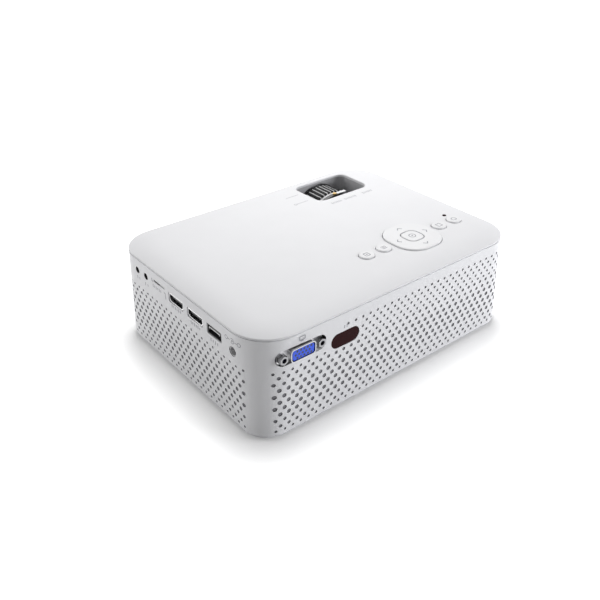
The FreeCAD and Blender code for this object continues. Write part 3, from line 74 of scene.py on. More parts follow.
x_side = corners("port_grille")[1].x
shell_x = x_side - 0.03
y_rear = corners("rear_grille")[1].y
z_floor = corners("base_shell")[0].z
z_part = corners("rear_grille")[1].z
z_top = corners("top_cover")[1].z
drive_low, drive_high = corners("drive_chassis")
wall = 2.2
floor_thickness = 2.2
corner_r_bottom = 15.5
corner_r_top = 22.5
bottom_edge_r = 1.2
top_edge_r = 0.25
z_cover = z_part + 0.6
z_lip = z_cover + 0.7
cover_edge_r = 0.55
cover_rise = 1.8
cover_dome_width = 17.0
cover_thickness = 2.0
cover_rim_r = 0.35
window_rim_r = 0.8
cover_inner_dome = 8.0
tongue_gap = 0.1
seam_depth = 0.45
tongue_thickness = 1.2
tongue_depth = 2.4
chamfer = 0.08
print_room = 0.03
half_turn_share = sin(radians(45))

# vent holes: heights above the case's bottom edge, diameters and columns
vent_pitch = 2.7
vent_row_low = 3.5
vent_row_close = 3.05
vent_row_wide = 3.87
vent_small_d = 1.5
vent_medium_d = 2.0
vent_large_d = 2.45
vent_rear_start = 13.35
vent_side_start = 17.3
vent_margin = 0.7
vent_low_rows = 10
vent_end_room = 11
hole_points = 18
# how deep the dark grey sheet sits in each vent hole; the sheet and the vent walls are painted shade
shade_sheet_depth = 0.35

# sockets: distance from the +X side or from the rear, height above the bottom edge, width, height
vga = (27.9, 48.9, 31.8, 9.2)
ir = (57.5, 44.4, 20.0, 9.1)
usb = (39.1, 51.1, 13.7, 6.3, 0.5)
hdmi = ((58.0, 51.3, 15.6, 6.1, 1.0), (77.9, 51.3, 15.6, 6.1, 1.0))
card = (96.0, 54.2, 12.4, 1.2, 0.4)
dc = (22.2, 48.7, 3.0)
jacks = ((111.6, 52.6, 2.1), (121.7, 52.6, 2.1))
bezel_hole_r = 18.0
lens_x, _, lens_z = middle_of("lens_mount")
speaker_x, _, speaker_z = middle_of("speaker")
speaker_slots = 7
speaker_slot_w = 1.6
speaker_slot_pitch = 3.4
speaker_reach = 12.0
drive_slot_clear = 0.3

pin_pitch = 2.29
pin_row = 1.98

# window and keys in the cover
window_from_rear = 125.5
window_w = 44.4
window_d = 30.0
window_r = 6.0
cap_gap = 0.35
key_row = 34.9
small_key_w = 9.4
small_key_d = 8.8
small_key_r = 4.2
keys = {"home": 104.7, "menu": 118.7, "back": 167.2, "power": 181.2}
ok_from_side = 143.0
ok_w = 12.4
ok_r = 4.2
pad_w = 33.4
pad_r = 13.5
led_from_side = 181.7
led_from_rear = 43.3
led_r = 1.35

# screws, feet and bosses in the floor
boss_x = 90.5
boss_y = 60.0
boss_r = 4.0
boss_split = 46.0
boss_places = [(sx * boss_x, sy * boss_y) for sx in (-1, 1) for sy in (-1, 1)]
screw_shank_r = 1.45
screw_hole_r = 1.7
screw_recess_r = 3.1
screw_recess = 1.4
tripod = middle_of("tripod_insert")
tripod_top = corners("tripod_insert")[1].z
tripod_r = corners("tripod_insert")[1].x - tripod.x
tripod_boss_r = 8.5
leg = middle_of("tilt_leg")
leg_hole_r = 3.1
leg_boss_r = 6.0
leg_boss_h = 12.0
post_r = 3.0
board_z = corners("main_board")[0].z
engine_z = corners("engine_housing")[0].z
posts = ((90.5, 8.0, board_z), (90.5, -46.0, board_z), (35.0, 62.0, 48.2), (-56.0, 8.0, engine_z),
         (-80.0, -12.0, engine_z))
key_post_r = 1.8
board_keys = corners("key_switches")[0]
z_flange = z_top - cover_thickness - 0.1
arrow_reach = 12.0

# focus ring
rib_count = 44
rib_gap = 0.85
# pale ridges of the focus ring: painted highlights between its black ribs
glint_ridge_w = 0.6
rib_depth = 1.2
glint_ridge_h = 1.08
ring_band = 1.6
ring_bore_r = 18.96


# ---- mesh helpers ----

def new_object(name, data):
    obj = bpy.data.objects.new(name, data)
    bpy.context.scene.collection.objects.link(obj)
    return obj


def piece(name, build, body, *used):
    """New object that rides on a CAD body; used are its materials, the first for unmarked faces."""
    mesh = bpy.data.meshes.new(name)
    mesh.from_pydata([tuple(p * MM) for p in build.points], [], build.faces)
    mesh.polygons.foreach_set("use_smooth", [True] * len(mesh.polygons))
    if build.marked:
        mesh.polygons.foreach_set("material_index", [build.marked.get(i, 0) for i in range(len(build.faces))])
    mesh.normals_split_custom_set_from_vertices([tuple(n) for n in build.normals])
    for material in used:
        mesh.materials.append(materials[material])
    obj = new_object(name, mesh)
    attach(obj, body)
    return obj


class Build:
    """Collects points in millimetres, their normals and faces."""

    def __init__(self):
        self.points = []
        self.normals = []
        self.faces = []
        self.marked = {}

    def mark_from(self, start, number):
        """Gives every face added since start another material."""
        for i in range(start, len(self.faces)):
            self.marked[i] = number

    def add(self, point, normal):
        self.points.append(Vector(point))
        self.normals.append(Vector(normal).normalized())
        return len(self.points) - 1

    def strip(self, first, second, closed=True):
        """Quads between two rows of points."""
        count = len(first)
        for i in range(count if closed else count - 1):
            j = (i + 1) % count
            self.faces.append((first[i], first[j], second[j], second[i]))

    def join(self, rows, closed=True, flip=False):
        """Strips between each row of points and the next."""
        for a, b in zip(rows, rows[1:]):
            self.strip(b if flip else a, a if flip else b, closed)

    def fill(self, ids, up=True):
        """One face, turned over unless it is to face up."""
        self.faces.append(tuple(ids if up else ids[::-1]))

    def facing(self, ids):
        """One face that looks the way of its first point's normal."""
        a, b, c = (self.points[i] for i in ids[:3])
        self.fill(ids, (b - a).cross(c - b).dot(self.normals[ids[0]]) > 0)

    def lathe(self, profile, x, y, segments=28):
        """Surface of revolution about a vertical axis; profile is (radius, z, normal out, normal up)."""
        turns = [(cos(2 * pi * k / segments), sin(2 * pi * k / segments)) for k in range(segments)]
        rows = [[self.add((x + r * c, y + r * s, z), (out * c, out * s, up)) for c, s in turns]
                for r, z, out, up in profile]
        for a, b in zip(rows[0::2], rows[1::2]):
            self.strip(a, b)


def circle_outline(a, z, r, count=hole_points, kind=None):
    """Outline of a round hole as a function of how far it is grown."""
    def outline(grow):
        return [(a + (r + grow) * cos(2 * pi * k / count),
                 z + (r + grow) * sin(2 * pi * k / count)) for k in range(count)]
    outline.kind = kind
    return outline


def rounded_outline(a, z, w, h, r, arc=6):
    """Outline of a rounded rectangle as a function of how far it is grown."""
    def outline(grow):
        radius = max(r + grow, 0.05)
        px, pz = w / 2 + grow - radius, h / 2 + grow - radius
        points = []
        for quarter, (sx, sz) in enumerate(((1, 1), (-1, 1), (-1, -1), (1, -1))):
            for k in range(arc + 1):
                angle = pi / 2 * (quarter + k / arc)
                points.append((a + sx * px + radius * cos(angle),
                               z + sz * pz + radius * sin(angle)))
        return points
    outline.kind = None
    return outline


def dense(outline, step):
    """The same outline with extra points on every edge longer than step."""
    base = outline(0.0)
    counts = [max(1, round(dist(p, base[(i + 1) % len(base)]) / step)) for i, p in enumerate(base)]

    def divided(grow):
        points = outline(grow)
        made = []
        for i, count in enumerate(counts):
            a, b = Vector(points[i]), Vector(points[(i + 1) % len(points)])
            made += [tuple(a.lerp(b, k / count)) for k in range(count)]
        return made
    return divided


def triangulate(boundary, outlines, inner, rows=()):
    """Points and triangles of a convex region with convex holes, with rows of points kept as edges."""
    points = [Vector(p) for p in boundary]
    edges = [(i, (i + 1) % len(boundary)) for i in range(len(boundary))]
    spans = []
    for loop in outlines:
        start, count = len(points), len(loop)
        points += [Vector(p) for p in loop]
        spans.append(range(start, start + count))
        edges += [(start + i, start + (i + 1) % count) for i in range(count)]
    for row in rows:
        start = len(points)
        points += [Vector(p) for p in row]
        edges += [(start + i, start + i + 1) for i in range(len(row) - 1)]
    points += [Vector(p) for p in inner]
    out, _, faces, origin, _, _ = delaunay_2d_cdt(points, edges, [], 1, 1e-5)
    new_of = {source: index for index, sources in enumerate(origin) for source in sources}
    holes = {}
    for number, span in enumerate(spans):
        for source in span:
            holes.setdefault(new_of[source], number)
    return out, [tuple(face) for face in faces if len({holes.get(v, -1 - v) for v in face}) > 1]


# ---- materials ----

class Nodes:
    """Builds one node material."""

    def __init__(self, name):
        self.material = bpy.data.materials.new(name)
        self.material.use_nodes = True
        self.tree = self.material.node_tree
        self.shader = self.tree.nodes["Principled BSDF"]
        self.coords = self.tree.nodes.new("ShaderNodeTexCoord")

    def node(self, kind, **inputs):
        made = self.tree.nodes.new(kind)
        for key, value in inputs.items():
            made.inputs[key.replace("_", " ")].default_value = value
        return made

    def link(self, source, target):
        self.tree.links.new(source, target)

    def noise(self, size_mm, detail=3.0, stretch=(1, 1, 1)):
        """Noise whose grains are about size_mm across."""
        mapping = self.node("ShaderNodeMapping", Scale=stretch)
        self.link(self.coords.outputs["Object"], mapping.inputs["Vector"])
        noise = self.node("ShaderNodeTexNoise", Scale=1.0 / (size_mm * MM), Detail=detail)
        self.link(mapping.outputs["Vector"], noise.inputs["Vector"])
        return noise.outputs["Fac"]

    def vary(self, source, low, high, socket):
        """Spreads a 0 to 1 value over low to high and feeds it to a socket."""
        ramp = self.node("ShaderNodeMapRange", From_Min=0.3, From_Max=0.7, To_Min=low, To_Max=high)
        self.link(source, ramp.inputs["Value"])
        self.link(ramp.outputs["Result"], self.shader.inputs[socket])

    def tint(self, source, colour, share):
        """Base colour between a share of a colour and all of it, by a 0 to 1 value."""
        ramp = self.node("ShaderNodeValToRGB")
        for element, position, level in zip(ramp.color_ramp.elements, (0.35, 0.65), (share, 1)):
            element.position = position
            element.color = (*(c * level for c in colour), 1.0)
        self.link(source, ramp.inputs["Fac"])
        self.link(ramp.outputs["Color"], self.shader.inputs["Base Color"])

    def bump(self, source, strength, depth_mm):
        bump = self.node("ShaderNodeBump", Strength=strength, Distance=depth_mm * MM)
        self.link(source, bump.inputs["Height"])
        self.link(bump.outputs["Normal"], self.shader.inputs["Normal"])


def moulded(name, colour, roughness, grain_mm=0.35, bump=0.25, depth=0.02, contrast=0.03):
    """Moulded plastic or rubber: fine spark-eroded grain, faint cloudiness."""
    nodes = Nodes(name)
    cloud = nodes.noise(18.0, 2.0)
    nodes.tint(cloud, colour, 1 - contrast)
    grain = nodes.noise(grain_mm, 2.0)
    nodes.vary(grain, roughness - 0.05, roughness + 0.05, "Roughness")
    nodes.bump(grain, bump, depth)
    return nodes


def metal(name, colour, roughness, stretch=(1, 1, 1), bump=0.1, contrast=0.08):
    """Metal with brushing or plating haze."""
    nodes = Nodes(name)
    nodes.shader.inputs["Metallic"].default_value = 1.0
    streak = nodes.noise(0.4, 3.0, stretch)
    nodes.tint(streak, colour, 1 - contrast)
    nodes.vary(streak, roughness - 0.06, roughness + 0.08, "Roughness")
    nodes.bump(streak, bump, 0.01)
    return nodes


def glass(name, colour, roughness, transmission):
    nodes = Nodes(name)
    nodes.shader.inputs["Transmission Weight"].default_value = transmission
    nodes.shader.inputs["IOR"].default_value = 1.5
    haze = nodes.noise(6.0, 2.0)
    nodes.tint(haze, colour, 0.97)
    nodes.vary(haze, roughness, roughness + 0.03, "Roughness")
    return nodes


def board_material():
    """Circuit board lacquer with traces as fine steps."""
    nodes = Nodes("circuit_board")
    brick = nodes.node("ShaderNodeTexBrick", Scale=1.0 / (2.4 * MM), Color1=(0.02, 0.15, 0.06, 1),
                       Color2=(0.03, 0.2, 0.08, 1), Mortar=(0.05, 0.28, 0.12, 1))
    nodes.link(nodes.coords.outputs["Object"], brick.inputs["Vector"])
    nodes.link(brick.outputs["Color"], nodes.shader.inputs["Base Color"])
    nodes.shader.inputs["Coat Weight"].default_value = 0.4
    nodes.vary(nodes.noise(0.8), 0.3, 0.45, "Roughness")
    nodes.bump(brick.outputs["Fac"], 0.3, 0.05)
    return nodes


def make_materials():
    """Every finish by name. Moulded: colour, roughness, grain in mm, bump, its depth, contrast."""
    made = {name: moulded(name, *values) for name, values in {
        "white_plastic": ((0.80, 0.80, 0.815), 0.52, 0.35, 0.25, 0.02, 0.012),
        "key_plastic": ((0.81, 0.81, 0.82), 0.42, 0.25, 0.15, 0.01, 0.01),
        "grey_plastic": ((0.5, 0.5, 0.515), 0.5),
        "socket_grey": ((0.62, 0.62, 0.63), 0.5),
        "black_plastic": ((0.022, 0.022, 0.024), 0.42),
        "black_rubber": ((0.008, 0.008, 0.009), 0.55, 0.5, 0.15),
        "rubber": ((0.05, 0.05, 0.05), 0.75, 0.6, 0.4, 0.04, 0.12),
        "blue_plastic": ((0.01, 0.085, 0.78), 0.35, 0.3, 0.1, 0.01, 0.06),
        "dark_window": ((0.026, 0.003, 0.004), 0.12, 0.3, 0.02, 0.002, 0.1),
        # dark grey for the vent holes' walls and bottom sheets: painted shade inside the holes
        "painted_vent_shade": ((0.22, 0.22, 0.235), 0.8, 0.5, 0.4, 0.02, 0.2),
        # pale ring of the focus grip: painted highlights between its ribs
        "painted_rib_glint": ((0.8, 0.8, 0.81), 0.4, 0.3, 0.1, 0.01, 0.02),
        "mark_grey": ((0.33, 0.33, 0.36), 0.6, 0.2, 0.1, 0.005, 0.05),
    }.items()}
    made.update({
        "circuit_board": board_material(),
        "dull_steel": metal("dull_steel", (0.3, 0.3, 0.31), 0.3, bump=0.05),
        "steel": metal("steel", (0.56, 0.56, 0.57), 0.34, (0.15, 1, 1)),
        "bright_steel": metal("bright_steel", (0.78, 0.78, 0.79), 0.2, bump=0.05),
        "aluminium": metal("aluminium", (0.72, 0.72, 0.74), 0.38, (1, 1, 0.1)),
        "brass": metal("brass", (0.72, 0.5, 0.2), 0.28),
        "mirror": metal("mirror", (0.9, 0.9, 0.92), 0.07, bump=0.0, contrast=0.01),
        "clear_glass": glass("clear_glass", (0.93, 0.96, 0.97), 0.01, 1.0),
        "panel_glass": glass("panel_glass", (0.1, 0.11, 0.13), 0.08, 0.5),
    })
    made["dark_window"].shader.inputs["Specular IOR Level"].default_value = 0.04
    made["black_rubber"].shader.inputs["Specular IOR Level"].default_value = 0.12
    return {name: nodes.material for name, nodes in made.items()}


materials = make_materials()


def dress_nodes():
    """Each CAD node takes the material of its slot in the record; four get a closer one."""
    for part in frame["record"]["subparts"]:
        obj = frame["nodes"][part["node"]]
        obj.data.materials.clear()
        obj.data.materials.append(materials[part["material_slot"]])
    for node, material in (("dc_jack", "socket_grey"), ("vga_standoffs", "dull_steel"),
                           ("usb_socket", "black_plastic"), ("vga_shell", "steel")):
        frame["nodes"][node].data.materials[0] = materials[material]


# ---- perforated case ----

def corner_r(z):
    share = (z - z_floor) / (z_part - z_floor)
    return corner_r_bottom + (corner_r_top - corner_r_bottom) * share


class Wall:
    """One side of the case, from the middle of one corner to the middle of the next."""

    def __init__(self, along, out, half_along, half_out):
        self.along = Vector(along)
        self.out = Vector(out)
        self.half_along = half_along
        self.half_out = half_out

    def frame_at(self, a, z):
        """Point on the outside and its normal, for a place along the wall and a height."""
        r = corner_r(z)
        past = max(abs(a) - (self.half_along - r), 0.0)
        sine = min(past / r, 1.0)
        cosine = sqrt(1 - sine * sine)
        side = copysign(1.0, a)
        normal = self.along * side * sine + self.out * cosine
        point = self.along * a + self.out * (self.half_out - r + r * cosine)
        point.z = z
        rise = 0.0
        if z < z_floor + bottom_edge_r:
            rise = -(z_floor + bottom_edge_r - z) / bottom_edge_r
            radius = bottom_edge_r
        elif z > z_part - top_edge_r:
            rise = (z - z_part + top_edge_r) / top_edge_r
            radius = top_edge_r
        if rise:
            flat = sqrt(max(1 - rise * rise, 0.0))
            point -= normal * radius * (1 - flat)
            normal = normal * flat + Vector((0, 0, rise))
        return point, normal

    def end(self, z):
        """How far along the wall its corner's middle lies."""
        return self.half_along - corner_r(z) * (1 - half_turn_share)


rear_wall = Wall((1, 0, 0), (0, 1, 0), shell_x, y_rear)
side_wall = Wall((0, 1, 0), (1, 0, 0), y_rear, shell_x)


def wall_columns(side, z):
    """Places along a wall at one height: dense round its two corners."""
    flat = side.half_along - corner_r(z)
    bends = [flat + corner_r(z) * sin(radians(a)) for a in range(5, 45, 5)]
    middle = [flat * k / 8 for k in range(-8, 9)]
    return [-side.end(z)] + [-b for b in reversed(bends)] + middle + bends + [side.end(z)]


def add_wall(build, side, outlines):
    """Outer skin, inner skin and hole walls of one side."""
    # heights of the rows of points on the bottom edge's curve and on the top edge's
    low = [z_floor + bottom_edge_r * (1 - cos(radians(a))) for a in (0, 22.5, 45, 67.5, 90)]
    high = [z_part - top_edge_r * (1 - sin(radians(a))) for a in (0, 45, 90)]
    step_count = 10
    middle = [low[-1] + (high[0] - low[-1]) * k / step_count for k in range(1, step_count)]
    levels = low + middle + high
    bottom = [(a, levels[0]) for a in wall_columns(side, levels[0])]
    top = [(a, levels[-1]) for a in wall_columns(side, levels[-1])]
    right = [(side.end(z), z) for z in levels[1:-1]]
    left = [(-side.end(z), z) for z in reversed(levels[1:-1])]
    boundary = bottom + right + top[::-1] + left
    rows = [[(a, z) for a in wall_columns(side, z)] for z in low[1:] + high[:-1]]
    loops = [outline(chamfer) for outline in outlines]
    reaches = []
    for loop in loops:
        a = sum(p[0] for p in loop) / len(loop)
        z = sum(p[1] for p in loop) / len(loop)
        reaches.append((a, z, max(hypot(p[0] - a, p[1] - z) for p in loop)))
    inner = [(a, z) for z in middle for a in wall_columns(side, z)[1:-1]
             if all(hypot(a - x, z - y) > reach + 0.3 for x, y, reach in reaches)]
    points, triangles = triangulate(boundary, loops, inner, rows)
    outer_ids, inner_ids = [], []
    for p in points:
        spot, normal = side.frame_at(*p)
        outer_ids.append(build.add(spot, normal))
        flat_normal = Vector((normal.x, normal.y, 0)).normalized()
        base = side.frame_at(p[0], min(max(p[1], low[-1]), high[0]))[0]
        base.z = p[1]
        inner_ids.append(build.add(base - flat_normal * wall, -flat_normal))
    handed = side.along.cross(Vector((0, 0, 1))).dot(side.out) > 0
    for tri in triangles:
        forward = tri if handed else tri[::-1]
        build.faces.append(tuple(outer_ids[i] for i in forward))
        build.faces.append(tuple(inner_ids[i] for i in reversed(forward)))
    for outline in outlines:
        add_hole_wall(build, side, outline)


def add_hole_wall(build, side, outline):
    """Chamfered rim and the wall of one hole; a socket goes through, a vent ends at a shallow sheet, and the
    vent's wall and sheet are dark grey: painted shade inside the hole.
    """
    vent = outline.kind == "vent"
    depth_in = shade_sheet_depth if vent else wall
    mid = outline(0.0)
    centre = sum((Vector(p) / len(mid) for p in mid), Vector((0, 0)))
    rings = []
    for grow, depth, tilt in ((chamfer, 0.0, 1.0), (0.0, chamfer, 0.3), (0.0, chamfer, 0.0),
                              (0.0, depth_in, 0.0)):
        ring = []
        for p in outline(grow):
            spot, normal = side.frame_at(*p)
            towards = side.along * (centre.x - p[0]) + Vector((0, 0, centre.y - p[1]))
            lean = normal * tilt + towards.normalized() * (1.2 - tilt)
            ring.append(build.add(spot - normal * depth, lean))
        rings.append(ring)
    build.strip(rings[0], rings[1])
    # the wall past the rim, and a vent's bottom sheet, take another material; for a vent it is dark grey
    # painted shade
    start = len(build.faces)
    build.strip(rings[2], rings[3])
    if vent:
        frames = [side.frame_at(*p) for p in mid]
        build.facing([build.add(spot - normal * depth_in, normal) for spot, normal in frames])
    if outline.kind:
        build.mark_from(start, 1 if vent else 2)


def vent_rows():
    """(height above the bottom edge, diameter) of each row, from the lowest up."""
    gaps = [vent_row_close] + [vent_row_wide] * 8 + [vent_row_close] * 5
    sizes = [vent_small_d] + [vent_medium_d] * 2 + [vent_large_d] * 5 + [vent_medium_d] * 2
    sizes += [vent_small_d] * 5
    return zip(itertools.accumulate(gaps, initial=vent_row_low), sizes)


def vent_holes(length, start, keep_out=(), high_from=inf):
    """Round outlines of a wall's vents; the highest rows are only past high_from along it."""
    outlines = []
    count = int((length - 2 * start) / vent_pitch + 0.5) + 2
    for row, (height, size) in enumerate(vent_rows()):
        r = size / 2
        for column in range(-1, count):
            along = start + column * vent_pitch
            missing = row > vent_low_rows and along <= high_from
            if (column + row) % 2 == 0 or along > length - vent_end_room or missing:
                continue
            if any(abs(along - a) < w / 2 + r + vent_margin and abs(height - h) < t / 2 + r + vent_margin
                   for a, h, w, t in keep_out):
                continue
            outlines.append(circle_outline(length / 2 - along, z_floor + height, r, kind="vent"))
    return outlines


def rear_outlines():
    outlines = vent_holes(2 * x_side, vent_rear_start, (vga, ir), ir[0])
    for (along, height, w, h), r in ((vga, vga[3] / 2 - 0.3), (ir, ir[3] / 2 - 0.01)):
        outlines.append(rounded_outline(x_side - along, z_floor + height, w, h, r, 10))
    return outlines


def side_outlines(with_ports):
    outlines = vent_holes(2 * y_rear, vent_side_start)
    if with_ports:
        for along, height, w, h, r in (usb, *hdmi, card):
            outlines.append(rounded_outline(y_rear - along, z_floor + height, w, h, r))
        for along, height, r in (dc, *jacks):
            outlines.append(circle_outline(y_rear - along, z_floor + height, r, 28, "socket"))
    return outlines


def front_outlines():
    outlines = [circle_outline(lens_x, lens_z, bezel_hole_r, 64)]
    for index in range(speaker_slots):
        off = (index - (speaker_slots - 1) / 2) * speaker_slot_pitch
        length = 2 * sqrt(speaker_reach ** 2 - off ** 2)
        outlines.append(rounded_outline(speaker_x + off, speaker_z, speaker_slot_w, length,
                                        speaker_slot_w / 2 - 0.01))
    low = z_floor + bottom_edge_r + chamfer + 0.05
    high = drive_high.z + drive_slot_clear
    width = drive_high.x - drive_low.x + 2 * drive_slot_clear
    outlines.append(rounded_outline((drive_low.x + drive_high.x) / 2, (low + high) / 2, width,
                                    high - low, 0.1, 2))
    return outlines


def add_floor(build):
    """Bottom plate inside the walls, with the screw, leg and tripod holes."""
    for z, up, inset in ((z_floor, -1, bottom_edge_r), (z_floor + floor_thickness, 1, wall)):
        r = corner_r_bottom - inset
        boundary = rounded_outline(0, 0, 2 * (x_side - inset), 2 * (y_rear - inset), r, 9)(0.0)
        screw_r = screw_recess_r if up < 0 else screw_hole_r
        outlines = [circle_outline(x, y, screw_r) for x, y in boss_places]
        outlines.append(circle_outline(tripod.x, tripod.y, tripod_r, 32))
        outlines.append(circle_outline(leg.x, leg.y, leg_hole_r, 24))
        points, triangles = triangulate(boundary, [o(0.0) for o in outlines], [])
        ids = [build.add((p[0], p[1], z), (0, 0, up)) for p in points]
        for tri in triangles:
            build.fill([ids[i] for i in tri], up > 0)


def add_bosses(build):
    """Screw recesses, bosses and posts inside the case."""
    recess = z_floor + screw_recess
    base = z_floor + floor_thickness
    for x, y in boss_places:
        build.lathe([
            (screw_recess_r, z_floor, -1, 0), (screw_recess_r, recess, -1, 0),
            (screw_recess_r, recess, 0, -1), (screw_hole_r, recess, 0, -1),
            (screw_hole_r, recess, -1, 0), (screw_hole_r, boss_split, -1, 0), (boss_r, base, 1, 0),
            (boss_r, boss_split, 1, 0), (boss_r, boss_split, 0, 1), (screw_hole_r, boss_split, 0, 1)], x, y)
    for place, hole, r, top, segments in (
            (tripod, tripod_r + 0.05, tripod_boss_r, tripod_top, 40),
            (leg, leg_hole_r, leg_boss_r, base + leg_boss_h, 32)):
        build.lathe([(hole, z_floor, -1, 0), (hole, top, -1, 0), (r, base, 1, 0), (r, top, 1, 0),
                     (r, top, 0, 1), (hole, top, 0, 1)], place.x, place.y, segments)
    for x, y, top in posts:
        build.lathe([(post_r, base, 1, 0), (post_r, top, 1, 0)], x, y)


def case_shell():
    """One seamless moulding: walls, corners, floor and bosses."""
    build = Build()
    add_wall(build, rear_wall, rear_outlines())
    add_wall(build, side_wall, side_outlines(True))
    add_wall(build, Wall((0, 1, 0), (-1, 0, 0), y_rear, shell_x), side_outlines(False))
    add_wall(build, Wall((1, 0, 0), (0, -1, 0), shell_x, y_rear), front_outlines())
    add_floor(build)
    add_bosses(build)
    # the second material is the painted shade in the vent holes
    obj = piece("case_shell", build, "case", "white_plastic", "painted_vent_shade", "black_plastic")
    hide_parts("base_shell", "rear_grille", "port_grille", "left_grille", "front_panel")


# ---- crowned cover ----

def crown_share(d):
    return min(max(d / cover_dome_width, 0.0), 1.0)


def crown_height(d):
    """Height of the cover's outside at a distance in from its outline."""
    return z_lip + cover_rise * (1 - (1 - crown_share(d)) ** 2)


def crown_slope(d):
    return 2 * cover_rise * (1 - crown_share(d)) / cover_dome_width


def under_height(d):
    """Height of the cover's underside at a distance in from its outline."""
    share = min((d - wall) / cover_inner_dome, 1.0)
    height = z_lip - cover_thickness + cover_rise * (1 - (1 - share) ** 2)
    return max(height, z_cover)


def inset_at(x, y):
    """Distance in from the cover's outline, and the direction out of it."""
    past_x, past_y = abs(x) - x_side + corner_r_top, abs(y) - y_rear + corner_r_top
    if past_x > 0 and past_y > 0:
        out = Vector((past_x, past_y))
        d = corner_r_top - out.length
        out.normalize()
    elif past_x > past_y:
        d, out = x_side - abs(x), Vector((1, 0))
    else:
        d, out = y_rear - abs(y), Vector((0, 1))
    return d, Vector((copysign(out.x, x), copysign(out.y, y), 0))


cover_outline = dense(rounded_outline(0, 0, 2 * x_side, 2 * y_rear, corner_r_top, 14), 8.0)


def cover_ring(build, inset, z, out_share, up_share):
    """Row of points round the cover, with normals from shares of outwards and up."""
    ring = []
    for x, y in cover_outline(-inset):
        out = inset_at(x, y)[1]
        ring.append(build.add((x, y, z), out * out_share + Vector((0, 0, up_share))))
    return ring


def add_lip(build, start, under_inset):
    """Rounded edge, upright lip, bearing rim on the case and the tongue inside it."""
    steep = pi / 2 - atan(crown_slope(start))
    middle = crown_height(start) - cover_edge_r * sin(steep)
    rows = []
    for k in range(7):
        c, s = cos(steep * (1 - k / 6)), sin(steep * (1 - k / 6))
        rows.append(cover_ring(build, cover_edge_r * (1 - c), middle + cover_edge_r * s, c, s))
    rows.append(cover_ring(build, 0.0, z_cover + chamfer, 1, 0))
    rows.append(cover_ring(build, chamfer, z_cover, 1, -1))
    build.join(rows, flip=True)
    outer = wall + tongue_gap
    inner = outer + tongue_thickness
    low = z_part - tongue_depth
    steps = (((chamfer, z_cover), (seam_depth, z_cover), 0, -1),
             ((seam_depth, z_cover), (seam_depth, z_part), 1, 0),
             ((seam_depth, z_part), (outer, z_part), 0, -1),
             ((outer, z_part), (outer, low), 1, 0),
             ((outer, low), (inner, low), 0, -1),
             ((inner, low), (inner, z_cover), -1, 0),
             ((inner, z_cover), (under_inset, z_cover), 0, -1))
    for (d0, z0), (d1, z1), out, up in steps:
        build.strip(cover_ring(build, d1, z1, out, up), cover_ring(build, d0, z0, out, up))


def cover_outlines():
    """(outline, rim radius) of each hole in the cover."""
    small = cap_gap * 2
    y = y_rear - key_row
    pad = pad_w + small
    holes = [(rounded_outline(lens_x, y_rear - window_from_rear, window_w, window_d, window_r, 10),
              window_rim_r),
             (rounded_outline(x_side - ok_from_side, y, pad, pad, pad_r + cap_gap, 12), cover_rim_r),
             (circle_outline(x_side - led_from_side, y_rear - led_from_rear, led_r, 20), 0.12)]
    w, d, r = small_key_w + small, small_key_d + small, small_key_r + cap_gap
    for from_side in keys.values():
        holes.append((rounded_outline(x_side - from_side, y, w, d, r, 8), cover_rim_r))
    return [(dense(outline, 2.5), rim) for outline, rim in holes]


def outside_boxes(point, loops, room):
    """Whether a point keeps clear of the extents of every loop."""
    for loop in loops:
        xs, ys = zip(*loop)
        if min(xs) - room < point[0] < max(xs) + room and min(ys) - room < point[1] < max(ys) + room:
            return False
    return True


def add_skin(build, start, insets, loops, height, slope, up):
    """One side of the cover: the outside when up is 1, the underside when it is -1."""
    inner = []
    for inset in insets:
        inner += [p for p in cover_outline(-inset) if outside_boxes(p, loops, 0.4)]
    points, triangles = triangulate(cover_outline(-start), loops, inner)
    ids = []
    for x, y in points:
        d, out = inset_at(x, y)
        ids.append(build.add((x, y, height(d)), out * slope(d) * up + Vector((0, 0, up))))
    for tri in triangles:
        build.fill([ids[i] for i in tri], up > 0)


def ways_out(outline):
    """Direction out of an outline at each of its points."""
    return [(Vector(b) - Vector(a)).normalized() for a, b in zip(outline(0.0), outline(1.0))]


def add_cover_hole(build, outline, rim):
    """Rounded rim and wall of one hole in the cover, down to the underside."""
    edge = outline(rim)
    aways = ways_out(outline)
    rows = []
    for k in range(5):
        angle = pi / 8 * k
        row = []
        for (x, y), (px, py), away in zip(edge, outline(rim * (1 - sin(angle))), aways):
            z = crown_height(inset_at(x, y)[0]) - rim * (1 - cos(angle))
            normal = Vector((-away.x * sin(angle), -away.y * sin(angle), cos(angle)))
            row.append(build.add((px, py, z), normal))
        rows.append(row)
    rows.append([build.add((x, y, under_height(inset_at(x, y)[0])), (-away.x, -away.y, 0))
                 for (x, y), away in zip(outline(0.0), aways)])
    build.join(rows)


def cover():
    """Crowned cover with soft rims, its tongue, screw bosses and key board posts."""
    build = Build()
    start = cover_edge_r * (1 - sin(atan(crown_slope(0.0))))
    under_inset = 6.0
    holes = cover_outlines()
    add_skin(build, start, (1.5, 3, 5, 8, 11, 14, 17), [o(rim) for o, rim in holes],
             crown_height, crown_slope, 1)
    add_skin(build, under_inset, (7.0, 8.5, 10.2), [o(0.0) for o, rim in holes],
             under_height, lambda d: 0.0, -1)
    add_lip(build, start, under_inset)
    for outline, rim in holes:
        add_cover_hole(build, outline, rim)
    for x, y in boss_places:
        build.lathe([
            (boss_r, boss_split, 1, 0), (boss_r, z_cover, 1, 0), (boss_r, boss_split, 0, -1),
            (screw_shank_r, boss_split, 0, -1), (screw_shank_r, boss_split, -1, 0),
            (screw_shank_r, z_cover - 6, -1, 0)], x, y)
    left, right = -x_side + cover_dome_width + 3, x_side - keys["home"] + small_key_w / 2 + 5
    for x, y in ((left, 13.5), (right, 13.5), (right, -13.5)):
        build.lathe([(key_post_r, board_keys.z, 1, 0), (key_post_r, z_top - cover_thickness, 1, 0)],
                    x, y_rear - key_row + y, 16)
    obj = piece("cover", build, "case", "white_plastic")
    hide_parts("top_cover")


# ---- middle key ----

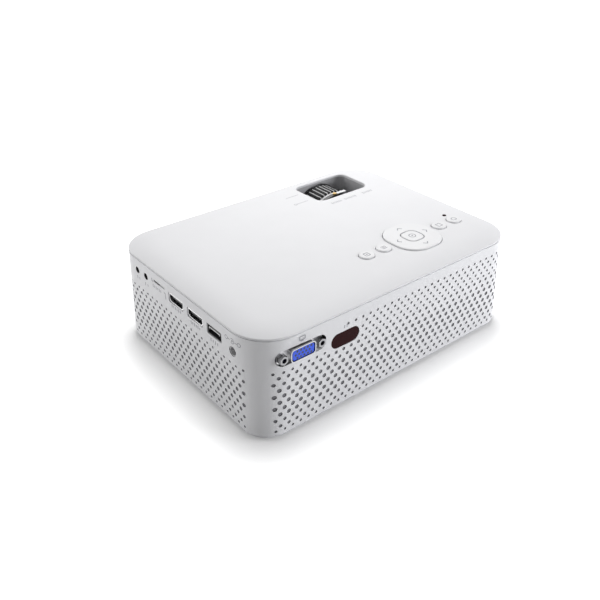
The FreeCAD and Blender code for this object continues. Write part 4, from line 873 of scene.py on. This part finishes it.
def middle_key():
    """Middle key with a soft pillow edge."""
    low, high = corners("ok_button")
    x, y, _ = middle_of("ok_button")
    outline = rounded_outline(x, y, ok_w, ok_w, ok_r, 8)
    flange_top, flange_low = z_flange - 0.3, z_flange - 1.2
    top = high.z - print_room
    soft = 0.7
    sections = [(0.8, flange_low), (0.8, flange_top), (0.0, flange_top), (0.0, top - soft)]
    build = Build()
    aways = ways_out(outline)

    def ring(grow, z, out, up):
        return [build.add((px, py, z), (away.x * out, away.y * out, up))
                for (px, py), away in zip(outline(grow), aways)]
    for (g0, z0), (g1, z1) in zip(sections, sections[1:]):
        out, up = (1, 0) if g0 == g1 else (0, 1)
        build.strip(ring(g0, z0, out, up), ring(g1, z1, out, up))
    rows = []
    for k in range(6):
        c, s = cos(pi / 10 * k), sin(pi / 10 * k)
        rows.append(ring(-soft * (1 - c), top - soft * (1 - s), c, s))
    build.join(rows)
    build.fill(rows[-1])
    build.fill(ring(0.8, flange_low, 0, -1), False)
    build.lathe([(1.5, low.z, 1, 0), (1.5, flange_low, 1, 0), (1.5, low.z, 0, -1), (0.0, low.z, 0, -1)],
                x, y, 16)
    obj = piece("middle_key", build, "ok_key", "key_plastic")
    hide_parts("ok_button")


# ---- focus ring ----

def ring_point(build, r, angle, y, out, along, turn=0.0):
    """Point of the focus ring; its normal mixes outwards, along the axis and round it."""
    c, s = cos(angle), sin(angle)
    normal = Vector((c, 0, s)) * out + Vector((0, 1, 0)) * along + Vector((-s, 0, c)) * turn
    return build.add((lens_x + r * c, y, lens_z + r * s), normal)


def ring_lathe(build, profile, segments=96):
    """Surface about the lens axis; profile is pairs of (radius, y, out, along)."""
    rows = [[ring_point(build, r, 2 * pi * k / segments, y, out, along) for k in range(segments)]
            for r, y, out, along in profile]
    for a, b in zip(rows[0::2], rows[1::2]):
        build.strip(b, a)


def ridge(build, middle, half, floor_r, height, y0, y1):
    """Ridge along the focus ring with soft edges and a rounded rear end."""
    soft = min(0.25, height / 3)
    rows = []
    for y, share, along in ((y0, 1.0, 0.0), (y1 - 0.6, 1.0, 0.0), (y1 - 0.2, 0.75, 0.6), (y1, 0.3, 0.9),
                            (y1, 0.0, 1.0)):
        top = floor_r + height * share
        edge = max(top - soft, floor_r)
        a = max(half - soft / top, half / 2)
        rows.append([ring_point(build, r, middle + off, y, out, along, turn) for r, off, out, turn in (
            (floor_r, -half, 0.1, -1), (edge, -half, 0.3, -1), (top, -a, 1, -0.3), (top, a, 1, 0.3),
            (edge, half, 0.3, 1), (floor_r, half, 0.1, 1))])
    build.join(rows, False, True)


def focus_ring():
    """Pale ring with thin pale ridges between black rubber ribs, and a black front band; the pale ring and
    ridges are painted highlights in the gaps between the ribs.
    """
    low, high = corners("focus_ring")
    front, rear = low.y, high.y
    r = (high.z - low.z) / 2
    floor_r = r - rib_depth
    band, back, edge = front + ring_band, 0.2, 0.3
    body = Build()
    ring_lathe(body, [
        (floor_r, band, 1, 0), (floor_r, rear - back, 1, 0), (floor_r, rear - back, 1, 1),
        (floor_r - back, rear, 1, 1), (floor_r - back, rear, 0, 1), (ring_bore_r, rear, 0, 1),
        (ring_bore_r, rear, -1, 0), (ring_bore_r, front, -1, 0)])
    grip = Build()
    ring_lathe(grip, [
        (ring_bore_r, front, 0, -1), (r - edge, front, 0, -1), (r - edge, front, 0.7, -0.7),
        (r, front + edge, 0.7, -0.7), (r, front + edge, 1, 0), (r, band, 1, 0), (r, band, 0, 1),
        (floor_r, band, 0, 1)])
    step = 2 * pi / rib_count
    for k in range(rib_count):
        ridge(grip, (k + 0.5) * step, (step - rib_gap / r) / 2, floor_r, rib_depth, band, rear - ring_band)
        # pale ridges between the black ribs: painted highlights
        ridge(body, k * step, glint_ridge_w / 2 / r, floor_r, glint_ridge_h, band, rear - ring_band)
    pale = piece("ring_body", body, "focus", "painted_rib_glint")
    obj = piece("ring_grip", grip, "focus", "black_rubber")
    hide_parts("focus_ring")


# ---- printed marks ----

def ribbon(build, place, line, width, closed=False):
    """Flat printed line along 2D points; place turns each into a spot and its normal."""
    points = [Vector(p) for p in line]
    count = len(points)
    rows = []
    for i, p in enumerate(points):
        ways = []
        if closed or i:
            ways.append((p - points[i - 1]).normalized())
        if closed or i < count - 1:
            ways.append((points[(i + 1) % count] - p).normalized())
        along = sum(ways, Vector((0, 0))).normalized()
        side = Vector((-along.y, along.x))
        reach = width / 2 / max(side.dot(Vector((-ways[0].y, ways[0].x))), 0.4)
        rows.append([build.add(*place(p + side * s * reach)) for s in (1, -1)])
    for i in range(count if closed else count - 1):
        (a, b), (c, d) = rows[i], rows[(i + 1) % count]
        build.facing([a, b, d, c])


def arc_line(x, y, r, start, end, steps=20):
    return [(x + r * cos(radians(start + (end - start) * k / steps)),
             y + r * sin(radians(start + (end - start) * k / steps))) for k in range(steps + 1)]


def ring_line(x, y, r):
    return arc_line(x, y, r, 0, 342, 19)


def dot(build, place, x, y, r):
    """Filled round mark."""
    build.facing([build.add(*place(Vector(p))) for p in arc_line(x, y, r, 0, 360 - 22.5, 15)])


def square_line(x, y, w, h, r):
    return rounded_outline(x, y, w, h, r, 4)(0.0)


def on_level(x, y, z):
    """Place for marks on a level face, measured from its middle."""
    def place(p):
        return Vector((x + p.x, y + p.y, z + print_room)), Vector((0, 0, 1))
    return place


def on_cover(p):
    d, out = inset_at(p.x, p.y)
    normal = (out * crown_slope(d) + Vector((0, 0, 1))).normalized()
    return Vector((p.x, p.y, crown_height(d))) + normal * print_room, normal


def on_wall(side, half):
    """Place for marks on a wall; along is measured from its first edge."""
    def place(p):
        spot, normal = side.frame_at(half - p.x, z_floor + p.y)
        return spot + normal * print_room, normal
    return place


def mark(name, body, build):
    obj = piece(name, build, body, "mark_grey")


def key_marks():
    """Plain signs on the keys: square and dot, lines, square, arc and bar, ring, arrows; and a dark line
    round the middle key, painted shade in its gap.
    """
    line = 0.5
    y = y_rear - key_row
    signs = {name: Build() for name in keys}
    place = {name: on_level(x_side - keys[name], y, corners(name + "_button")[1].z) for name in keys}

    def sign(name, points, closed=False):
        ribbon(signs[name], place[name], points, line, closed)
    sign("home", square_line(0, 0, 3.2, 3.2, 0.4), True)
    dot(signs["home"], place["home"], 0, 0, 0.5)
    for step in (-1.2, 0.0, 1.2):
        sign("menu", [(-1.7, step), (1.7, step)])
    sign("back", square_line(0, 0, 3.3, 3.3, 0.3), True)
    sign("power", arc_line(0, 0, 1.7, 125, 415))
    sign("power", [(0, 0.5), (0, 2.2)])
    for name, build in signs.items():
        mark(name + "_sign", name + "_key", build)
    build = Build()
    place = on_level(x_side - ok_from_side, y, corners("ok_button")[1].z - print_room)
    ribbon(build, place, ring_line(0, 0, 2.1), line, True)
    dot(build, place, 0, 0, 0.6)
    mark("middle_sign", "ok_key", build)
    build = Build()
    place = on_level(x_side - ok_from_side, y, corners("nav_pad")[1].z)
    for turn in range(4):
        c, s = ((1, 0), (0, 1), (-1, 0), (0, -1))[turn]
        arrow = [(arrow_reach - 1.2, -1.9), (arrow_reach + 0.6, 0.0), (arrow_reach - 1.2, 1.9)]
        ribbon(build, place, [(a * c - b * s, a * s + b * c) for a, b in arrow], 0.62)
    # dark line round the middle key: painted shade in the gap between key and pad
    shade_ring_size = 2 * cap_gap + 0.3
    ribbon(build, place, square_line(0, 0, ok_w + shade_ring_size, ok_w + shade_ring_size, ok_r + shade_ring_size / 2), 0.3, True)
    mark("pad_arrows_and_gap_shade", "pad", build)


def window_marks():
    """Lines beside the focus window and a row of short strokes behind it."""
    build = Build()
    for from_rear, start, end in ((128.7, 118.0, 128.5), (117.0, 118.0, 127.6)):
        y = y_rear - from_rear
        ribbon(build, on_cover, [(x_side - start, y), (x_side - end, y)], 0.35)
    ribbon(build, on_cover, ring_line(x_side - 117.0, y_rear - 117.0, 1.0), 0.3, True)
    for first, count in ((137.5, 6), (149.0, 7), (165.5, 6)):
        for k in range(count):
            x = x_side - first - k * 1.5
            reach = 1.0 if k % 3 else 1.35
            ribbon(build, on_cover, [(x, y_rear - 103 - reach), (x, y_rear - 103 + reach)], 0.5)
    mark("window_marks", "case", build)


def rear_marks():
    """Signs over the video inlet and the remote control window."""
    build = Build()
    place = on_wall(rear_wall, x_side)
    ribbon(build, place, square_line(vga[0], vga[1] + 8.2, 3.6, 2.2, 0.3), 0.42, True)
    ribbon(build, place, [(vga[0] - 1.1, vga[1] + 6.5), (vga[0] + 1.1, vga[1] + 6.5)], 0.42)
    for step in (-0.8, 0.8):
        ribbon(build, place, [(ir[0] + step, ir[1] + 6.3), (ir[0] + step, ir[1] + 8.3)], 0.6)
    mark("rear_signs", "case", build)


def side_marks():
    """Signs by the sockets in the side wall: short strokes, no letters."""
    build = Build()
    place = on_wall(side_wall, y_rear)
    y, z = dc[0], 55.1
    for end in (-1, 1):
        ribbon(build, place, [(y + end * 2.1, z), (y + end * 4.0, z)], 0.42)
        ribbon(build, place, ring_line(y + end * 5.2, z, 1.1), 0.36, True)
    ribbon(build, place, arc_line(y, z, 1.5, 40, 320), 0.42)
    dot(build, place, y, z, 0.6)
    strokes = ((36.2, 42.6, 45.2), (53.6, 62.4, 46.0), (73.6, 82.6, 46.6), (94.6, 103.4, 50.3),
               (110.2, 113.2, 47.1), (120.0, 122.6, 47.6))
    for start, end, height in strokes:
        count = max(2, round((end - start) / 1.5))
        for k in range(count):
            at = start + (end - start) * k / (count - 1)
            rise = 1.1 if k % 2 else 0.8
            ribbon(build, place, [(at, height - rise), (at, height + rise)], 0.6)
    ribbon(build, place, [(102.8, 53.2), (104.2, 53.2), (104.2, 55.2)], 0.55)
    ribbon(build, place, [(91.0, 51.4), (89.4, 51.4), (89.4, 47.4)], 0.55)
    mark("side_signs", "case", build)


def contact_hole_shade():
    """Black dots at the fifteen contact holes of the video inlet, where their countersinks lie: painted shade
    in the holes.
    """
    build = Build()
    x, z = x_side - vga[0], z_floor + vga[1]
    face = corners("vga_shell")[1].y - 0.3 + 0.02

    def place(p):
        return Vector((p.x, face, p.y)), Vector((0, 1, 0))
    for row in (-1, 0, 1):
        shift = pin_pitch / 4 if row else -pin_pitch / 4
        for column in range(-2, 3):
            # each black dot is painted shade in a contact hole
            dot(build, place, x + column * pin_pitch - shift, z + row * pin_row, 0.68)
    obj = piece("contact_hole_shade", build, "case", "black_plastic")


def add_block(build, low, high):
    """Plain rectangular plate with flat faces."""
    for axis in range(3):
        for side in (0, 1):
            normal = Vector((0, 0, 0))
            normal[axis] = 2 * side - 1
            ids = []
            for a, b in ((0, 0), (1, 0), (1, 1), (0, 1)):
                ends = {axis: side, (axis + 1) % 3: a, (axis + 2) % 3: b}
                ids.append(build.add([(low, high)[ends[i]][i] for i in range(3)], normal))
            build.fill(ids, side)


def tongues():
    """Black contact tongues of the display and data sockets."""
    low, high = corners("socket_tongues")
    build = Build()
    for along, height, w, h, r in hdmi:
        y = y_rear - along
        z = z_floor + height
        add_block(build, Vector((low.x + 2, y - 5.5, z - 0.6)), Vector((x_side - 1.6, y + 5.5, z + 0.6)))
    y = y_rear - usb[0]
    add_block(build, Vector((low.x, y - 5.55, high.z - 1.8)), Vector((high.x, y + 5.55, high.z)))
    obj = piece("tongues", build, "case", "black_plastic")
    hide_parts("socket_tongues")


def socket_glint_and_pin_shade():
    """White strip along the folded lip in the mouth of the data socket, a painted highlight, and a black dot
    at the end of the supply pin, painted shade in the pin's recess.
    """
    build = Build()
    front = corners("usb_socket")[1].x + 0.02

    def place(p):
        return Vector((front, y_rear - p.x, z_floor + p.y)), Vector((1, 0, 0))
    along, height, w, h, r = usb
    lip, drop = (w - 4.0) / 2, 0.9
    level = height + h / 2 - 2.0
    corner = ((-lip, -drop), (-lip, 0), (lip, 0), (lip, -drop))
    # white strip: painted highlight on the lip
    ribbon(build, place, [(along + a, level + b) for a, b in corner], 0.6)
    start = len(build.faces)
    # black dot: painted shade in the recess of the supply pin
    dot(build, place, dc[0], dc[1], 0.95)
    build.mark_from(start, 1)
    obj = piece("socket_glint_and_pin_shade", build, "case", "key_plastic", "black_plastic")


for make in (case_shell, cover, middle_key, focus_ring, contact_hole_shade, tongues, socket_glint_and_pin_shade, key_marks,
             window_marks, rear_marks, side_marks, dress_nodes):
    make()


# ---- floor, camera and light ----

camera_place = (263.8, 309.5, 270.1)
camera_forward = (-0.5335, -0.6610, -0.5277)
camera_lens = 43.99


def camera():
    data = bpy.data.cameras.new("camera")
    data.lens = camera_lens
    data.sensor_width = 36.0
    data.clip_start = 0.01
    data.clip_end = 20.0
    obj = new_object("camera", data)
    obj.location = Vector(camera_place) * MM
    obj.rotation_euler = Vector(camera_forward).to_track_quat("-Z", "Y").to_euler()
    bpy.context.scene.camera = obj


def seen_directly(tree):
    """A value that is 1 for rays from the camera and for reflected or refracted ones."""
    path = tree.nodes.new("ShaderNodeLightPath")
    seen = path.outputs["Is Camera Ray"]
    for ray in ("Is Glossy Ray", "Is Transmission Ray"):
        either = tree.nodes.new("ShaderNodeMath")
        either.operation = "MAXIMUM"
        tree.links.new(seen, either.inputs[0])
        tree.links.new(path.outputs[ray], either.inputs[1])
        seen = either.outputs["Value"]
    return seen


def world(ambient):
    scene_world = bpy.data.worlds.new("studio")
    scene_world.use_nodes = True
    tree = scene_world.node_tree
    background = tree.nodes["Background"]
    background.inputs["Color"].default_value = (1, 1, 1, 1)
    level = tree.nodes.new("ShaderNodeMapRange")
    level.inputs["To Min"].default_value = ambient
    level.inputs["To Max"].default_value = 1.0
    tree.links.new(seen_directly(tree), level.inputs["Value"])
    tree.links.new(level.outputs["Result"], background.inputs["Strength"])
    bpy.context.scene.world = scene_world


footprint = ((x_side - corner_r_bottom) * MM, (y_rear - corner_r_bottom) * MM, 0)
# how far the floor's painted shade reaches out from the footprint
painted_shade_reach = 0.057
lamp_aim = 0.03


def ground(glow):
    """Pale floor that keeps the shadow and reads white beyond it; its glow fades to almost none towards the
    footprint, which paints shade round the base.
    """
    size = 6.0
    mesh = bpy.data.meshes.new("ground")
    spots = [(x * size, y * size, 0) for x, y in ((-1, -1), (1, -1), (1, 1), (-1, 1))]
    mesh.from_pydata(spots, [], [(0, 1, 2, 3)])
    obj = new_object("ground", mesh)
    nodes = Nodes("ground")
    for key, value in (("Base Color", (0.82, 0.82, 0.82, 1)), ("Roughness", 0.9),
                       ("Specular IOR Level", 0.0), ("Emission Color", (1, 1, 1, 1))):
        nodes.shader.inputs[key].default_value = value
    last = nodes.coords.outputs["Object"]
    for operation, other in (("ABSOLUTE", (0, 0, 0)), ("SUBTRACT", footprint), ("MAXIMUM", (0, 0, 0)),
                             ("LENGTH", (0, 0, 0))):
        distance = nodes.node("ShaderNodeVectorMath")
        distance.operation = operation
        nodes.link(last, distance.inputs[0])
        distance.inputs[1].default_value = other
        last = distance.outputs[0]
    # the glow fades to the given low level at the footprint: painted shade round the base, on top of the real
    # shadow
    spread = nodes.node("ShaderNodeMapRange", From_Min=0.0, From_Max=painted_shade_reach, To_Min=glow, To_Max=1.0)
    spread.interpolation_type = "SMOOTHSTEP"
    nodes.link(distance.outputs["Value"], spread.inputs["Value"])
    level = nodes.node("ShaderNodeMath")
    level.operation = "MULTIPLY"
    nodes.link(spread.outputs["Result"], level.inputs[1])
    nodes.link(seen_directly(nodes.tree), level.inputs[0])
    nodes.link(level.outputs["Value"], nodes.shader.inputs["Emission Strength"])
    mesh.materials.append(nodes.material)


def softbox(name, azimuth, elevation, distance, size, power, colour=(1, 1, 1)):
    """Area lamp that looks at the middle of the object."""
    data = bpy.data.lights.new(name, "AREA")
    data.shape = "RECTANGLE"
    data.size, data.size_y = size
    data.energy = power
    data.color = colour
    obj = new_object(name, data)
    a, e = radians(azimuth), radians(elevation)
    away = Vector((cos(e) * cos(a), cos(e) * sin(a), sin(e)))
    obj.location = Vector((0, 0, lamp_aim)) + away * distance
    obj.rotation_euler = (-away).to_track_quat("-Z", "Y").to_euler()


camera()
world(0.22)
ground(0.01)
softbox("key_right", -39, 13, 0.9, (0.5, 0.5), 2.75)
softbox("key_rear", 129, 13, 0.9, (0.5, 0.5), 5.3, (0.965, 0.975, 1.0))
softbox("back", -128, 52, 0.5, (0.4, 0.35), 1.85)
bpy.context.scene.view_settings.view_transform = "Standard"
